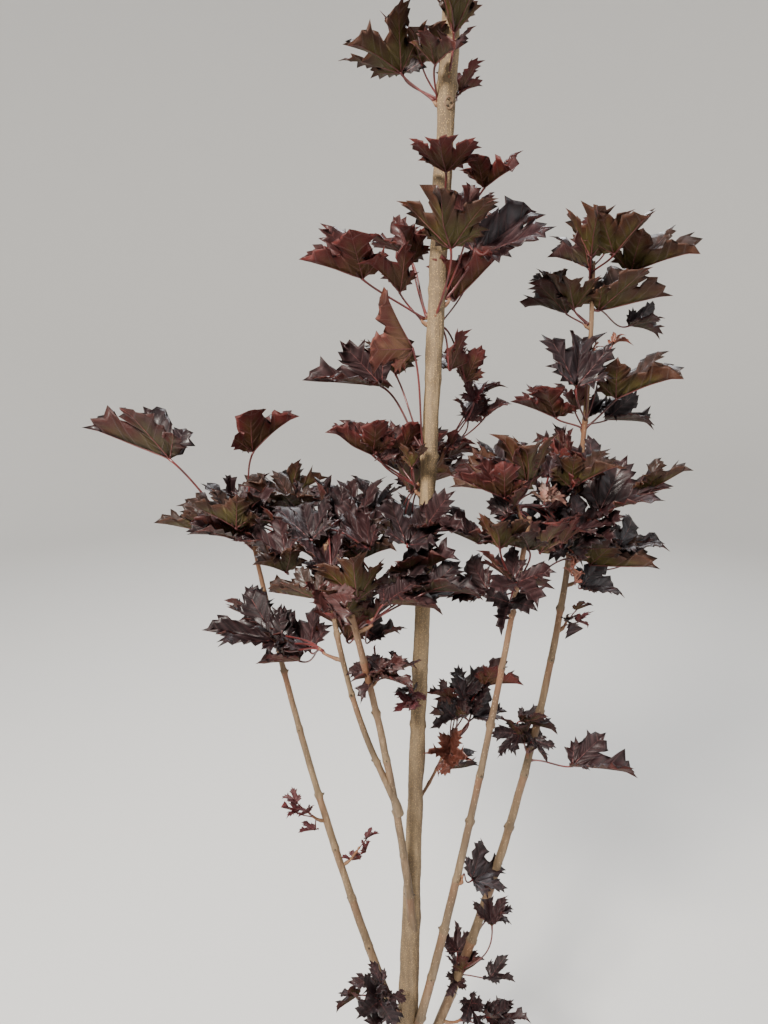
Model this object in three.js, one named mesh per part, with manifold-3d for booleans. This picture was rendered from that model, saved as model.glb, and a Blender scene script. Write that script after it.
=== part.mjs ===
// A young purple-leaved maple, grown as a sapling: one straight trunk, six boughs that leave it low down and
// rise steeply beside it, and loose clouds of large leaves round the shoot tips.
// Millimetres, +Z up. The origin is the centre of the flat cut under the trunk, at ground level.
// -Y is the front, and +X is to the right as seen from there.
import * as THREE from "three";
import { mergeVertices } from "three/addons/utils/BufferGeometryUtils.js";
import Module from "manifold-3d";

const wasm = await Module();
wasm.setup();

// Driving dimensions
const height = 2700; // ground to the tip of the leader
const trunkWidth = 36; // below the lowest boughs
const flareWidth = 60; // root flare at the ground
const lean = 72; // how far the leader's tip stands to the right of the foot
const leanBend = 1.65; // the trunk starts upright and leans more towards its tip
const sway = { reach: 7, turns: 1.4 }; // the trunk's slight wander, front to back
const clearance = 0.3; // between pieces that touch
const twigWidth = 7; // the woody twig that carries a cloud of leaves

// A cloud's surface swells and dips by a share of its reach, in waves along each axis.
const unevenness = { share: 0.2, x: 4.1, y: 3.3, z: 5.3, zShare: 0.6 };

// How finely the round and ball shapes are divided
const trunkFacets = { sides: 10, rings: 18, crowding: 1.35 }; // its rings crowd towards the flare
const boughFacets = { sides: 6, rings: 9 };
const twigSides = 4;
const fineBall = 90; // a lobe that reaches at least this far to the side is finely faceted
const fairBall = 60; // and a smaller one than this is coarse

// Trunk widths as shares of trunkWidth, at heights in millimetres. It narrows above the boughs.
const trunkTaper = [
  [0, flareWidth / trunkWidth],
  [25, 1.36],
  [70, 1.14],
  [160, 1.05],
  [450, 1],
  [560, 0.92],
  [680, 0.76],
  [900, 0.7],
  [1400, 0.62],
  [1900, 0.56],
  [2250, 0.44],
  [2500, 0.3],
  [height, 0.14],
];

// Each bough: its foot and tip, how much it bows outward (negative bows the other way), and its widths there.
const boughs = {
  bough_left: { foot: [2, 6, 285], tip: [-256, 88, 1262], bow: 0.35, widths: [18, 7] },
  bough_front: { foot: [10, -8, 560], tip: [-84, -135, 1205], bow: -0.4, widths: [15, 9] },
  bough_front_fork: { foot: [-18, -60, 850], tip: [-121, -84, 1290], bow: 0.85, widths: [11, 6] },
  bough_right: { foot: [8, -6, 290], tip: [158, -75, 1326], bow: 0.3, widths: [18, 7] },
  bough_tall: { foot: [10, 8, 190], tip: [264, 85, 1668], bow: 1.34, widths: [20, 6] },
  bough_back: { foot: [4, 6, 690], tip: [23, 198, 1296], bow: 0.29, widths: [12, 6] },
};

// Each cloud of leaves: the limb that carries it, the height where its twig leaves the limb, and its lobes,
// each as the centre and the reach to either side, front to back and up.
const shownClouds = {
  foliage_left_tip: { on: "bough_left", at: 1228, lobes: [[-422, 40, 1413, 66, 45, 30]] },
  foliage_left_upright: { on: "bough_left", at: 1256, lobes: [[-217, 90, 1432, 42, 34, 40]] },
  foliage_left_crown: {
    on: "bough_left",
    at: 1250,
    lobes: [
      [-290, 70, 1290, 100, 95, 50],
      [-195, 130, 1300, 70, 80, 44],
    ],
  },
  foliage_left_low: {
    on: "bough_front_fork",
    at: 1112,
    lobes: [
      [-235, 0, 1132, 84, 60, 32],
      [-172, -35, 1092, 56, 48, 22],
    ],
  },
  foliage_left_sprig: {
    on: "bough_left",
    at: 742,
    lobes: [
      [-188, 20, 790, 30, 24, 20],
      [-168, 30, 738, 18, 20, 16],
    ],
  },
  foliage_inner_sprig: { on: "bough_left", at: 655, lobes: [[-66, 52, 700, 24, 22, 17]] },
  foliage_front_centre: { on: "bough_front_fork", at: 1278, lobes: [[-112, -55, 1335, 84, 86, 48]] },
  foliage_front_under: { on: "bough_front", at: 1190, lobes: [[-100, -135, 1240, 80, 68, 34]] },
  foliage_front_low: { on: "bough_front", at: 1180, lobes: [[24, -112, 1228, 64, 58, 34]] },
  foliage_front_tuft: { on: "bough_front", at: 1085, lobes: [[-35, -85, 1098, 54, 46, 20]] },
  foliage_front_crown: { on: "trunk", at: 1255, lobes: [[24, -84, 1318, 62, 56, 38]] },
  foliage_front_bud: { on: "trunk", at: 1000, lobes: [[-6, -56, 1034, 32, 30, 24]] },
  foliage_back_crown: {
    on: "bough_back",
    at: 1284,
    lobes: [
      [24, 215, 1345, 96, 92, 50],
      [-40, 160, 1240, 60, 54, 34],
    ],
  },
  foliage_low_left: { on: "trunk", at: 1335, lobes: [[-62, 0, 1416, 66, 46, 26]] },
  foliage_low_right: {
    on: "trunk",
    at: 1372,
    lobes: [
      [78, 44, 1398, 38, 36, 22],
      [112, 130, 1462, 48, 50, 40],
    ],
  },
  foliage_pale_leaf: { on: "trunk", at: 1390, lobes: [[-30, -30, 1592, 30, 26, 46]] },
  foliage_mid_left: {
    on: "trunk",
    at: 1402,
    lobes: [
      [-42, 72, 1540, 34, 44, 26],
      [-104, 28, 1516, 58, 46, 26],
    ],
  },
  foliage_right_back: {
    on: "trunk",
    at: 1573,
    lobes: [
      [96, 66, 1632, 38, 44, 46],
      [86, 104, 1532, 30, 40, 34],
    ],
  },
  foliage_collar_left: {
    on: "trunk",
    at: 1576,
    lobes: [
      [-42, 36, 1668, 36, 42, 40],
      [-118, -20, 1672, 52, 40, 32],
    ],
  },
  foliage_collar_front: { on: "trunk", at: 1590, lobes: [[22, -80, 1708, 48, 36, 38]] },
  foliage_collar_right: { on: "trunk", at: 1600, lobes: [[126, 0, 1714, 48, 52, 44]] },
  foliage_upper_right: { on: "trunk", at: 1700, lobes: [[112, 18, 1780, 34, 34, 26]] },
  foliage_upper_front: { on: "trunk", at: 1712, lobes: [[22, -72, 1788, 38, 28, 26]] },
  foliage_upper_left: { on: "trunk", at: 1848, lobes: [[-50, 0, 1922, 42, 38, 38]] },
  foliage_upper_back: { on: "trunk", at: 1850, lobes: [[60, 84, 1890, 46, 44, 34]] },
  foliage_leader_front: { on: "trunk", at: 1880, lobes: [[46, -56, 1944, 40, 30, 34]] },
  foliage_tall_top: { on: "bough_tall", at: 1654, lobes: [[248, 84, 1708, 56, 66, 44]] },
  foliage_tall_tip: { on: "bough_tall", at: 1610, lobes: [[354, 64, 1690, 62, 48, 30]] },
  foliage_tall_left: { on: "bough_tall", at: 1572, lobes: [[208, 104, 1622, 50, 54, 38]] },
  foliage_tall_mid: { on: "bough_tall", at: 1545, lobes: [[340, 128, 1608, 58, 54, 32]] },
  foliage_tall_lower: { on: "bough_tall", at: 1470, lobes: [[262, 46, 1526, 56, 46, 44]] },
  foliage_tall_olive: { on: "bough_tall", at: 1430, lobes: [[368, 96, 1502, 52, 46, 30]] },
  foliage_tall_base: {
    on: "bough_tall",
    at: 1425,
    lobes: [
      [212, 126, 1462, 54, 48, 28],
      [326, 140, 1448, 50, 48, 24],
    ],
  },
  foliage_right_crown: { on: "bough_right", at: 1312, lobes: [[122, -52, 1372, 68, 76, 48]] },
  foliage_right_mid: {
    on: "bough_tall",
    at: 1320,
    lobes: [
      [236, 10, 1366, 56, 66, 40],
      [238, 130, 1376, 58, 56, 34],
    ],
  },
  foliage_right_tip: { on: "bough_tall", at: 1275, lobes: [[356, 62, 1338, 66, 64, 38]] },
  foliage_right_low: {
    on: "bough_right",
    at: 1215,
    lobes: [
      [132, -72, 1268, 66, 58, 42],
      [150, -118, 1218, 56, 44, 26],
    ],
  },
  foliage_right_low_mid: { on: "bough_tall", at: 1205, lobes: [[262, 10, 1266, 58, 62, 42]] },
  foliage_right_low_tip: { on: "bough_tall", at: 1165, lobes: [[376, 100, 1226, 56, 52, 40]] },
  foliage_right_bud: { on: "bough_tall", at: 1085, lobes: [[286, 86, 1126, 32, 30, 30]] },
  foliage_between: {
    on: "trunk",
    at: 815,
    lobes: [
      [76, 92, 856, 44, 40, 30],
      [112, 92, 974, 70, 56, 34],
    ],
  },
  foliage_spur_right: { on: "bough_tall", at: 872, lobes: [[188, 44, 904, 52, 46, 36]] },
  foliage_spur_tip: { on: "bough_tall", at: 850, lobes: [[334, 50, 872, 56, 48, 24]] },
  foliage_low_spur: { on: "bough_right", at: 690, lobes: [[124, -66, 748, 40, 38, 26]] },
  foliage_foot_left: { on: "trunk", at: 385, lobes: [[-60, -56, 462, 66, 48, 46]] },
  foliage_foot_back: {
    on: "bough_tall",
    at: 400,
    lobes: [
      [93, 66, 446, 44, 36, 42],
      [162, 70, 530, 40, 30, 24],
      [84, 4, 430, 32, 26, 26],
    ],
  },
  foliage_foot_right: { on: "bough_tall", at: 330, lobes: [[160, -36, 404, 50, 38, 32]] },
};

// Above those the leader carries opposite pairs, each a quarter turn on from the one below and a little smaller.
// A pair is one cloud: a collar round the leader joins its two lobes. The last cloud closes over the tip.
const leader = {
  pairs: 5,
  first: 2040,
  gap: 124,
  turn: THREE.MathUtils.degToRad(18),
  collar: [32, 32, 32],
  rise: 62, // from the node up to the lobes
  out: 82, // from the leader's axis to a lobe's centre
  reach: { along: 62, across: 52, up: 42 },
  smaller: 0.045, // share lost from one pair to the next
  tip: { at: 2660, rise: 62, reach: [74, 70, 56] },
};

const barkMaterial = new THREE.MeshStandardMaterial({ color: 0x8d7a5f, roughness: 0.85, metalness: 0 });
const youngBarkMaterial = new THREE.MeshStandardMaterial({ color: 0x8a6a4f, roughness: 0.7, metalness: 0 });
const leafMaterial = new THREE.MeshStandardMaterial({ color: 0x2e1a20, roughness: 0.4, metalness: 0 });

const up = new THREE.Vector3(0, 0, 1);

// A closed three.js geometry as a solid for cutting and joining.
function solidOf(geometry) {
  const bare = new THREE.BufferGeometry();
  bare.setAttribute("position", geometry.getAttribute("position"));
  if (geometry.index) bare.setIndex(geometry.index);
  const merged = mergeVertices(bare, 1e-3);
  return new wasm.Manifold(
    new wasm.Mesh({
      numProp: 3,
      vertProperties: merged.attributes.position.array,
      triVerts: new Uint32Array(merged.index.array),
    }),
  );
}

function geometryOf(solid) {
  const mesh = solid.getMesh();
  const geometry = new THREE.BufferGeometry();
  geometry.setAttribute("position", new THREE.BufferAttribute(mesh.vertProperties, 3));
  geometry.setIndex(new THREE.BufferAttribute(mesh.triVerts, 1));
  geometry.computeVertexNormals();
  return geometry;
}

// A round limb along a path, from share 0 to 1: a cylinder whose rings are set square to the path.
function roundLimb(path, width, { sides, rings }) {
  const geometry = new THREE.CylinderGeometry(1, 1, 1, sides, rings);
  const position = geometry.attributes.position;
  const step = 0.5 / rings;
  for (let i = 0; i < position.count; i++) {
    const share = position.getY(i) + 0.5;
    const along = path(Math.min(share + step, 1)).sub(path(Math.max(share - step, 0))).normalize();
    const turn = new THREE.Quaternion().setFromUnitVectors(up, along);
    const rim = new THREE.Vector3(position.getX(i), -position.getZ(i), 0).multiplyScalar(width(share) / 2);
    const place = path(share).add(rim.applyQuaternion(turn));
    position.setXYZ(i, place.x, place.y, place.z);
  }
  return solidOf(geometry);
}

function lookUp(table, at) {
  const next = table.findIndex(([key]) => key >= at);
  if (next <= 0) return table[Math.max(next, 0)][1];
  const [lowKey, low] = table[next - 1];
  const [highKey, high] = table[next];
  return THREE.MathUtils.mapLinear(at, lowKey, highKey, low, high);
}

function trunkPath(share) {
  const wander = sway.reach * Math.sin(2 * Math.PI * sway.turns * share) * share * (1 - share);
  return new THREE.Vector3(lean * share ** leanBend, wander, height * share);
}

// A grown limb is one made wider by the growth all round, and longer by it at the tip.
function trunk(grow = 0) {
  const even = (share) => share ** trunkFacets.crowding;
  const longer = 1 + grow / height;
  const path = (share) => trunkPath(longer * even(share));
  const width = (share) => trunkWidth * lookUp(trunkTaper, height * even(share)) + 2 * grow;
  const ground = new THREE.BoxGeometry(4 * flareWidth, 4 * flareWidth, flareWidth);
  ground.translate(0, 0, -flareWidth / 2);
  return roundLimb(path, width, trunkFacets).subtract(solidOf(ground));
}

function boughPath({ foot, tip, bow }) {
  const start = new THREE.Vector3(...foot);
  const end = new THREE.Vector3(...tip);
  return (share) => {
    const out = share + bow * share * (1 - share);
    const place = start.clone().lerp(end, out);
    place.z = THREE.MathUtils.lerp(start.z, end.z, share);
    return place;
  };
}

function bough(spec, grow = 0) {
  const longer = 1 + grow / (spec.tip[2] - spec.foot[2]);
  const path = (share) => boughPath(spec)(longer * share);
  const width = (share) => THREE.MathUtils.lerp(...spec.widths, share) + 2 * grow;
  return roundLimb(path, width, boughFacets);
}

// The point on a limb's axis at a height.
function placeOn(limb, at) {
  if (limb === "trunk") return trunkPath(at / height);
  const spec = boughs[limb];
  return boughPath(spec)((at - spec.foot[2]) / (spec.tip[2] - spec.foot[2]));
}

// The leader's clouds, pair by pair from the lowest node, and the one over its tip.
function leaderClouds() {
  const { pairs, first, gap, turn, collar, rise, out, reach, smaller, tip } = leader;
  const made = {};
  for (let i = 0; i < pairs; i++) {
    const at = first + i * gap;
    const size = 1 - smaller * i;
    const axis = placeOn("trunk", at);
    const way = new THREE.Vector2(1, 0).rotateAround(new THREE.Vector2(), turn + (i * Math.PI) / 2);
    const side = size * Math.hypot(reach.along * way.x, reach.across * way.y);
    const deep = size * Math.hypot(reach.along * way.y, reach.across * way.x);
    const lobeTo = (hand) => [
      axis.x + hand * size * out * way.x,
      axis.y + hand * size * out * way.y,
      at + size * rise,
      side,
      deep,
      size * reach.up,
    ];
    const heart = [axis.x, axis.y, at + collar[2] / 2, ...collar];
    made[`foliage_leader_pair_${i + 1}`] = { on: "trunk", at, lobes: [heart, lobeTo(-1), lobeTo(1)] };
  }
  const top = placeOn("trunk", tip.at);
  const cap = [top.x, top.y, tip.at + tip.rise, ...tip.reach];
  made.foliage_leader_tip = { on: "trunk", at: tip.at, lobes: [cap] };
  return made;
}

function ball(reach) {
  if (reach >= fineBall) return new THREE.IcosahedronGeometry(1, 2);
  if (reach >= fairBall) return new THREE.IcosahedronGeometry(1, 1);
  return new THREE.DodecahedronGeometry(1);
}

// One uneven lobe of a cloud: a rough ball that swells and dips, drawn out to its reach.
function lobe([x, y, z, side, deep, tall], seed, grow = 0) {
  const geometry = ball(side);
  const position = geometry.attributes.position;
  const wave = unevenness;
  const way = new THREE.Vector3();
  for (let i = 0; i < position.count; i++) {
    way.fromBufferAttribute(position, i);
    const level = Math.sin(wave.x * way.x + seed) * Math.cos(wave.y * way.y - 2 * seed);
    const upright = wave.zShare * Math.sin(wave.z * way.z + 3 * seed);
    const reach = 1 + (wave.share * (level + upright)) / (1 + wave.zShare);
    position.setXYZ(
      i,
      x + way.x * (side * reach + grow),
      y + way.y * (deep * reach + grow),
      z + way.z * (tall * reach + grow),
    );
  }
  return solidOf(geometry);
}

function twig(from, to, grow = 0) {
  const path = (share) => from.clone().lerp(to, share);
  return roundLimb(path, () => twigWidth + 2 * grow, { sides: twigSides, rings: 1 });
}

// The twigs of a cloud: from its limb to the first lobe, and on from there to each further lobe.
function twigs({ on, at, lobes }, grow = 0) {
  const hearts = lobes.map(([x, y, z]) => new THREE.Vector3(x, y, z));
  const feet = hearts.map((_, i) => (i ? hearts[0] : placeOn(on, at)));
  return hearts.map((heart, i) => twig(feet[i], heart, grow)).reduce((all, one) => all.add(one));
}

function leaves({ lobes }, seed, grow = 0) {
  return lobes.map((one, i) => lobe(one, seed + 2 * i, grow)).reduce((all, one) => all.add(one));
}

function largest(solid) {
  return solid.decompose().sort((a, b) => b.volume() - a.volume())[0];
}

function named(name, solid, material) {
  const mesh = new THREE.Mesh(geometryOf(solid), material);
  mesh.name = name;
  return mesh;
}

const sapling = new THREE.Group();
sapling.add(named("trunk", trunk(), barkMaterial));

// Each bough is cut to fit the limbs made before it.
let limbsGrown = trunk(clearance);
for (const [name, spec] of Object.entries(boughs)) {
  const cut = largest(bough(spec).subtract(limbsGrown));
  sapling.add(named(name, cut, youngBarkMaterial));
  limbsGrown = limbsGrown.add(bough(spec, clearance));
}

// Each cloud is cut round the limbs, round every other cloud's twigs, and round the clouds made before it.
const cloudList = Object.entries({ ...shownClouds, ...leaderClouds() });
const twigsGrown = cloudList.map(([, cloud]) => twigs(cloud, clearance));
let cloudsGrown = limbsGrown;
cloudList.forEach(([name, cloud], seed) => {
  let made = leaves(cloud, seed).add(twigs(cloud)).subtract(cloudsGrown);
  twigsGrown.forEach((other, i) => {
    if (i !== seed) made = made.subtract(other);
  });
  sapling.add(named(name, largest(made), leafMaterial));
  cloudsGrown = cloudsGrown.add(leaves(cloud, seed, clearance));
});

export default sapling;
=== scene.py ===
# A young purple-leaved maple, grown as a sapling: bark, twigs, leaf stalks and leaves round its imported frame.
import math
import random

import bpy
import numpy as np
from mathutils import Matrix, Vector
from mathutils.bvhtree import BVHTree


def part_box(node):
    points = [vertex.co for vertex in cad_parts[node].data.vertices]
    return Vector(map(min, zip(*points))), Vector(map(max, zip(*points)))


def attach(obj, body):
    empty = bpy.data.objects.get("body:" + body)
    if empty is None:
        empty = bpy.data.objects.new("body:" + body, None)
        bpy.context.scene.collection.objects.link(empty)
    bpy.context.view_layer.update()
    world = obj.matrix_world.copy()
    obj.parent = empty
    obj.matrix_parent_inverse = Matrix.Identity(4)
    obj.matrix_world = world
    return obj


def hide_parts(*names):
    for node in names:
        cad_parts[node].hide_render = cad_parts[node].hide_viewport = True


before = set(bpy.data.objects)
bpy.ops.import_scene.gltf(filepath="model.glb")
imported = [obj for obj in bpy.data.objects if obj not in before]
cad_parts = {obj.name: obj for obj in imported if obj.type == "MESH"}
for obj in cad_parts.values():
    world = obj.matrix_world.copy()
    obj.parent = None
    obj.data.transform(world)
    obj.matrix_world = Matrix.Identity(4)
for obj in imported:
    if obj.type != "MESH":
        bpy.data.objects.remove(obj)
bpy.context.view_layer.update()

up = np.array((0.0, 0.0, 1.0))
noHeight = (1, 1, 0)  # times a vector, it takes out the height
askew = (0.31, 0.83, 0.47)  # a way that no limb runs


# Camera: at standing height, just left of the trunk, looking down at the crown

shot = {
    "place": (-0.041, -1.05, 1.60),
    "down": 15.3,
    "lens": 26.02,
    "film": 36.0,  # millimetres along the picture's long side
    "picture": (768, 1024),
    "nearest": 0.05,
}


def setCamera():
    camera = bpy.data.objects.new("camera", bpy.data.cameras.new("camera"))
    camera.location = shot["place"]
    camera.rotation_euler = (math.radians(90 - shot["down"]), 0, 0)
    camera.data.lens = shot["lens"]
    camera.data.clip_start = shot["nearest"]
    bpy.context.scene.collection.objects.link(camera)
    bpy.context.scene.camera = camera


def seenAt(pixel, depth):
    # the place that shows at a pixel, as far behind the trunk's middle as told
    wide, tall = shot["picture"]
    focal = shot["lens"] / shot["film"] * tall
    down = math.radians(shot["down"])
    rise = (tall / 2 - pixel[1]) / focal
    reach = (depth - shot["place"][1]) / (math.cos(down) + rise * math.sin(down))
    return np.array((
        shot["place"][0] + reach * (pixel[0] - wide / 2) / focal,
        depth,
        shot["place"][2] + reach * (rise * math.cos(down) - math.sin(down)),
    ))


# Node helpers, shared by every material


def setInputs(tree, node, values):
    for socket, value in values.items():
        if isinstance(value, bpy.types.NodeSocket):
            tree.links.new(value, node.inputs[socket])
        else:
            node.inputs[socket].default_value = value


def addNode(tree, kind, values=None, **settings):
    node = tree.nodes.new("ShaderNode" + kind)
    for key, value in settings.items():
        setattr(node, key, value)
    setInputs(tree, node, values or {})
    return node


def maths(tree, operation, *values):
    return addNode(tree, "Math", dict(enumerate(values)), operation=operation).outputs[0]


def blend(tree, share, first, second):
    # the numbers are the factor and the colour sockets of a Mix node
    return addNode(tree, "Mix", {0: share, 6: first, 7: second}, data_type="RGBA").outputs[2]


def fade(tree, value, start, end, low=0.0, high=1.0):
    values = {"Value": value, "From Min": start, "From Max": end, "To Min": low, "To Max": high}
    return addNode(tree, "MapRange", values, interpolation_type="SMOOTHSTEP").outputs[0]


def newGroup(name, inputs, outputs):
    tree = bpy.data.node_groups.new(name, "ShaderNodeTree")
    for socket, value in inputs.items():
        kind = "NodeSocketColor" if isinstance(value, tuple) else "NodeSocketFloat"
        made = tree.interface.new_socket(socket, in_out="INPUT", socket_type=kind)
        made.default_value = value
    for socket, kind in outputs.items():
        tree.interface.new_socket(socket, in_out="OUTPUT", socket_type="NodeSocket" + kind)
    given = tree.nodes.new("NodeGroupInput").outputs
    wanted = tree.nodes.new("NodeGroupOutput").inputs
    return tree, given, wanted


def useGroup(tree, group, values):
    return addNode(tree, "Group", values, node_tree=group).outputs


def newMaterial(name, constants):
    material = bpy.data.materials.new(name)
    material.use_nodes = True
    tree = material.node_tree
    shader = tree.nodes["Principled BSDF"]
    for socket, value in constants.items():
        shader.inputs[socket].default_value = value
    return material, tree, shader


def bumped(tree, shader, height, strength, distance):
    bump = addNode(tree, "Bump", {"Height": height, "Strength": strength, "Distance": distance})
    tree.links.new(bump.outputs[0], shader.inputs["Normal"])


def colour(red, green, blue):
    return (red, green, blue, 1.0)


# Effects that several finishes share

veinLook = {
    "narrowing": 1.15,  # a side vein's width is this less its way out to the margin
    "edgeWider": 1.6,  # its soft edge, as a factor and a plus on its width
    "edgePlus": 0.03,
    "netScale": 26.0,
    "netEdge": (0.015, 0.09),
    "clouds": (5.0, 5.0),  # scale and detail
    "sheenOnCrest": (0.02, 0.3),  # the raised strip between two side veins, lightened there as a painted sheen
    "sheenClouds": (0.3, 0.55),
    "darkClouds": (0.35, 0.65),
    "darker": 0.62,
    "netRelief": 0.25,
    "cloudRelief": 0.5,
}
flushLook = {
    "lobes": (0.6, 2.2),  # how far along a lobe the flush of its margin sets in
    "tips": (2.6, 5.0),
    "clouds": (3.0, 3.0),
    "ragged": 0.5,
    "soft": (0.02, 0.6),
}
corkLook = {"randomness": 0.9, "dashEdge": (0.14, 0.38), "streaks": {"Detail": 6.0, "Roughness": 0.6}}


def clouds(tree, place, scale, detail):
    values = {"Vector": place, "Scale": scale, "Detail": detail}
    return addNode(tree, "TexNoise", values, noise_dimensions="2D").outputs["Fac"]


def bladeMaps(tree):
    # a point's place in its lobe, in veins along it and across to its margin, and on the flat blade
    place = addNode(tree, "SeparateXYZ", {0: addNode(tree, "UVMap", uv_map="veins").outputs[0]}).outputs
    return place, addNode(tree, "UVMap", uv_map="flat").outputs[0]


def drawnOut(tree, length):
    # the object's own coordinates, for a pattern that is drawn out upwards
    where = addNode(tree, "TexCoord").outputs["Object"]
    squash = addNode(tree, "CombineXYZ", {"X": 1.0, "Y": 1.0, "Z": maths(tree, "DIVIDE", 1.0, length)})
    return addNode(tree, "VectorMath", {0: where, 1: squash.outputs[0]}, operation="MULTIPLY").outputs[0]


def makeVeins():
    # side veins and the fine net between them, laid out by the blade's own two maps, and a painted sheen: the
    # raised strip between two side veins is lightened
    inputs = {
        "Blade Color": colour(0.1, 0.1, 0.1),
        "Vein Color": colour(0.2, 0.1, 0.1),
        "Vein Width": 0.05,
        "Vein Show": 0.5,
        "Net Show": 0.2,
        "Sheen Color": colour(0.1, 0.08, 0.09),
        "Sheen Show": 0.3,
        "Mottle": 0.2,
    }
    outputs = {"Color": "Color", "Height": "Float", "Dullness": "Float"}
    tree, given, wanted = newGroup("blade veins", inputs, outputs)
    place, flat = bladeMaps(tree)
    phase = maths(tree, "FRACT", maths(tree, "ADD", place["X"], 0.5))
    toVein = maths(tree, "ABSOLUTE", maths(tree, "SUBTRACT", phase, 0.5))
    narrowing = maths(tree, "SUBTRACT", veinLook["narrowing"], place["Y"])
    width = maths(tree, "MULTIPLY", given["Vein Width"], narrowing)
    soft = maths(tree, "MULTIPLY_ADD", width, veinLook["edgeWider"], veinLook["edgePlus"])
    sideVein = fade(tree, toVein, width, soft, 1.0, 0.0)
    spread = {"Vector": flat, "Scale": veinLook["netScale"]}
    cells = addNode(tree, "TexVoronoi", spread, feature="DISTANCE_TO_EDGE", voronoi_dimensions="2D")
    net = fade(tree, cells.outputs["Distance"], *veinLook["netEdge"], 1.0, 0.0)
    cloud = clouds(tree, flat, *veinLook["clouds"])
    veined = maths(tree, "MULTIPLY", sideVein, given["Vein Show"])
    netted = maths(tree, "MULTIPLY", net, given["Net Show"])
    shown = maths(tree, "MAXIMUM", veined, netted)
    # painted sheen: the raised strip between two side veins takes a lighter tint, standing in for light caught
    # along the pleats
    toCrest = maths(tree, "ABSOLUTE", maths(tree, "SUBTRACT", maths(tree, "FRACT", place["X"]), 0.5))
    sheenOnCrest = maths(tree, "MULTIPLY", fade(tree, toCrest, *veinLook["sheenOnCrest"], 1.0, 0.0), given["Sheen Show"])
    sheenOnCrest = maths(tree, "MULTIPLY", sheenOnCrest, fade(tree, cloud, *veinLook["sheenClouds"]))
    base = blend(tree, sheenOnCrest, given["Blade Color"], given["Sheen Color"])
    base = blend(tree, shown, base, given["Vein Color"])
    dark = fade(tree, cloud, *veinLook["darkClouds"])
    darkened = addNode(tree, "HueSaturation", {"Color": base, "Value": veinLook["darker"]}).outputs[0]
    share = maths(tree, "MULTIPLY", dark, given["Mottle"])
    tree.links.new(blend(tree, share, base, darkened), wanted["Color"])
    relief = maths(tree, "MULTIPLY_ADD", net, veinLook["netRelief"], sideVein)
    tree.links.new(maths(tree, "MULTIPLY_ADD", cloud, veinLook["cloudRelief"], relief), wanted["Height"])
    tree.links.new(maths(tree, "MAXIMUM", dark, sideVein), wanted["Dullness"])
    return tree


def makeFlush():
    # one colour round the ribs and the base, another towards the margin and the tips of the lobes
    inputs = {"Heart Color": colour(0.2, 0.15, 0.05), "Rim Color": colour(0.2, 0.05, 0.03), "Reach": 0.55}
    tree, given, wanted = newGroup("margin flush", inputs, {"Color": "Color"})
    place, flat = bladeMaps(tree)
    across = maths(tree, "MULTIPLY", place["Y"], fade(tree, place["X"], *flushLook["lobes"]))
    tips = fade(tree, place["X"], *flushLook["tips"])
    cloud = clouds(tree, flat, *flushLook["clouds"])
    ragged = maths(tree, "MULTIPLY_ADD", cloud, flushLook["ragged"], maths(tree, "MAXIMUM", across, tips))
    start, end = (maths(tree, "ADD", given["Reach"], plus) for plus in flushLook["soft"])
    share = fade(tree, ragged, start, end)
    tree.links.new(blend(tree, share, given["Heart Color"], given["Rim Color"]), wanted["Color"])
    return tree


def makeLenticels():
    # short raised corky dashes
    inputs = {"Scale": 400.0, "Length": 2.0, "Cover": 0.5}
    tree, given, wanted = newGroup("lenticels", inputs, {"Mask": "Float"})
    stretched = drawnOut(tree, given["Length"])
    spread = {"Vector": stretched, "Scale": given["Scale"], "Randomness": corkLook["randomness"]}
    dots = addNode(tree, "TexVoronoi", spread)
    near = fade(tree, dots.outputs["Distance"], *corkLook["dashEdge"], 1.0, 0.0)
    chance = addNode(tree, "SeparateXYZ", {0: dots.outputs["Color"]}).outputs["X"]
    kept = maths(tree, "LESS_THAN", chance, given["Cover"])
    tree.links.new(maths(tree, "MULTIPLY", near, kept), wanted["Mask"])
    return tree


def makeStreaks():
    # faint upright streaks in bark or along a stalk
    inputs = {"Scale": 120.0, "Length": 9.0, "Contrast": 0.2}
    tree, given, wanted = newGroup("streaks", inputs, {"Fac": "Float"})
    stretched = drawnOut(tree, given["Length"])
    spread = {"Vector": stretched, "Scale": given["Scale"], **corkLook["streaks"]}
    noise = addNode(tree, "TexNoise", spread)
    low = maths(tree, "SUBTRACT", 0.5, given["Contrast"])
    high = maths(tree, "ADD", 0.5, given["Contrast"])
    tree.links.new(fade(tree, noise.outputs["Fac"], low, high), wanted["Fac"])
    return tree


veinGroup = makeVeins()
flushGroup = makeFlush()
lenticelGroup = makeLenticels()
streakGroup = makeStreaks()


# Meshes, shared by all pieces


def ringFaces(rings, sides):
    # the faces between rings of points that follow one another
    faces = []
    for ring in range(rings - 1):
        low, high = ring * sides, (ring + 1) * sides
        for i in range(sides):
            j = (i + 1) % sides
            faces.append((low + i, low + j, high + j, high + i))
    return faces


def newObject(name, points, faces, materials):
    mesh = bpy.data.meshes.new(name)
    mesh.from_pydata(points, [], faces)
    mesh.polygons.foreach_set("use_smooth", [True] * len(mesh.polygons))
    for material in materials:
        mesh.materials.append(material)
    made = bpy.data.objects.new(name, mesh)
    bpy.context.scene.collection.objects.link(made)
    return made


# Floor, backdrop and lights

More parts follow.
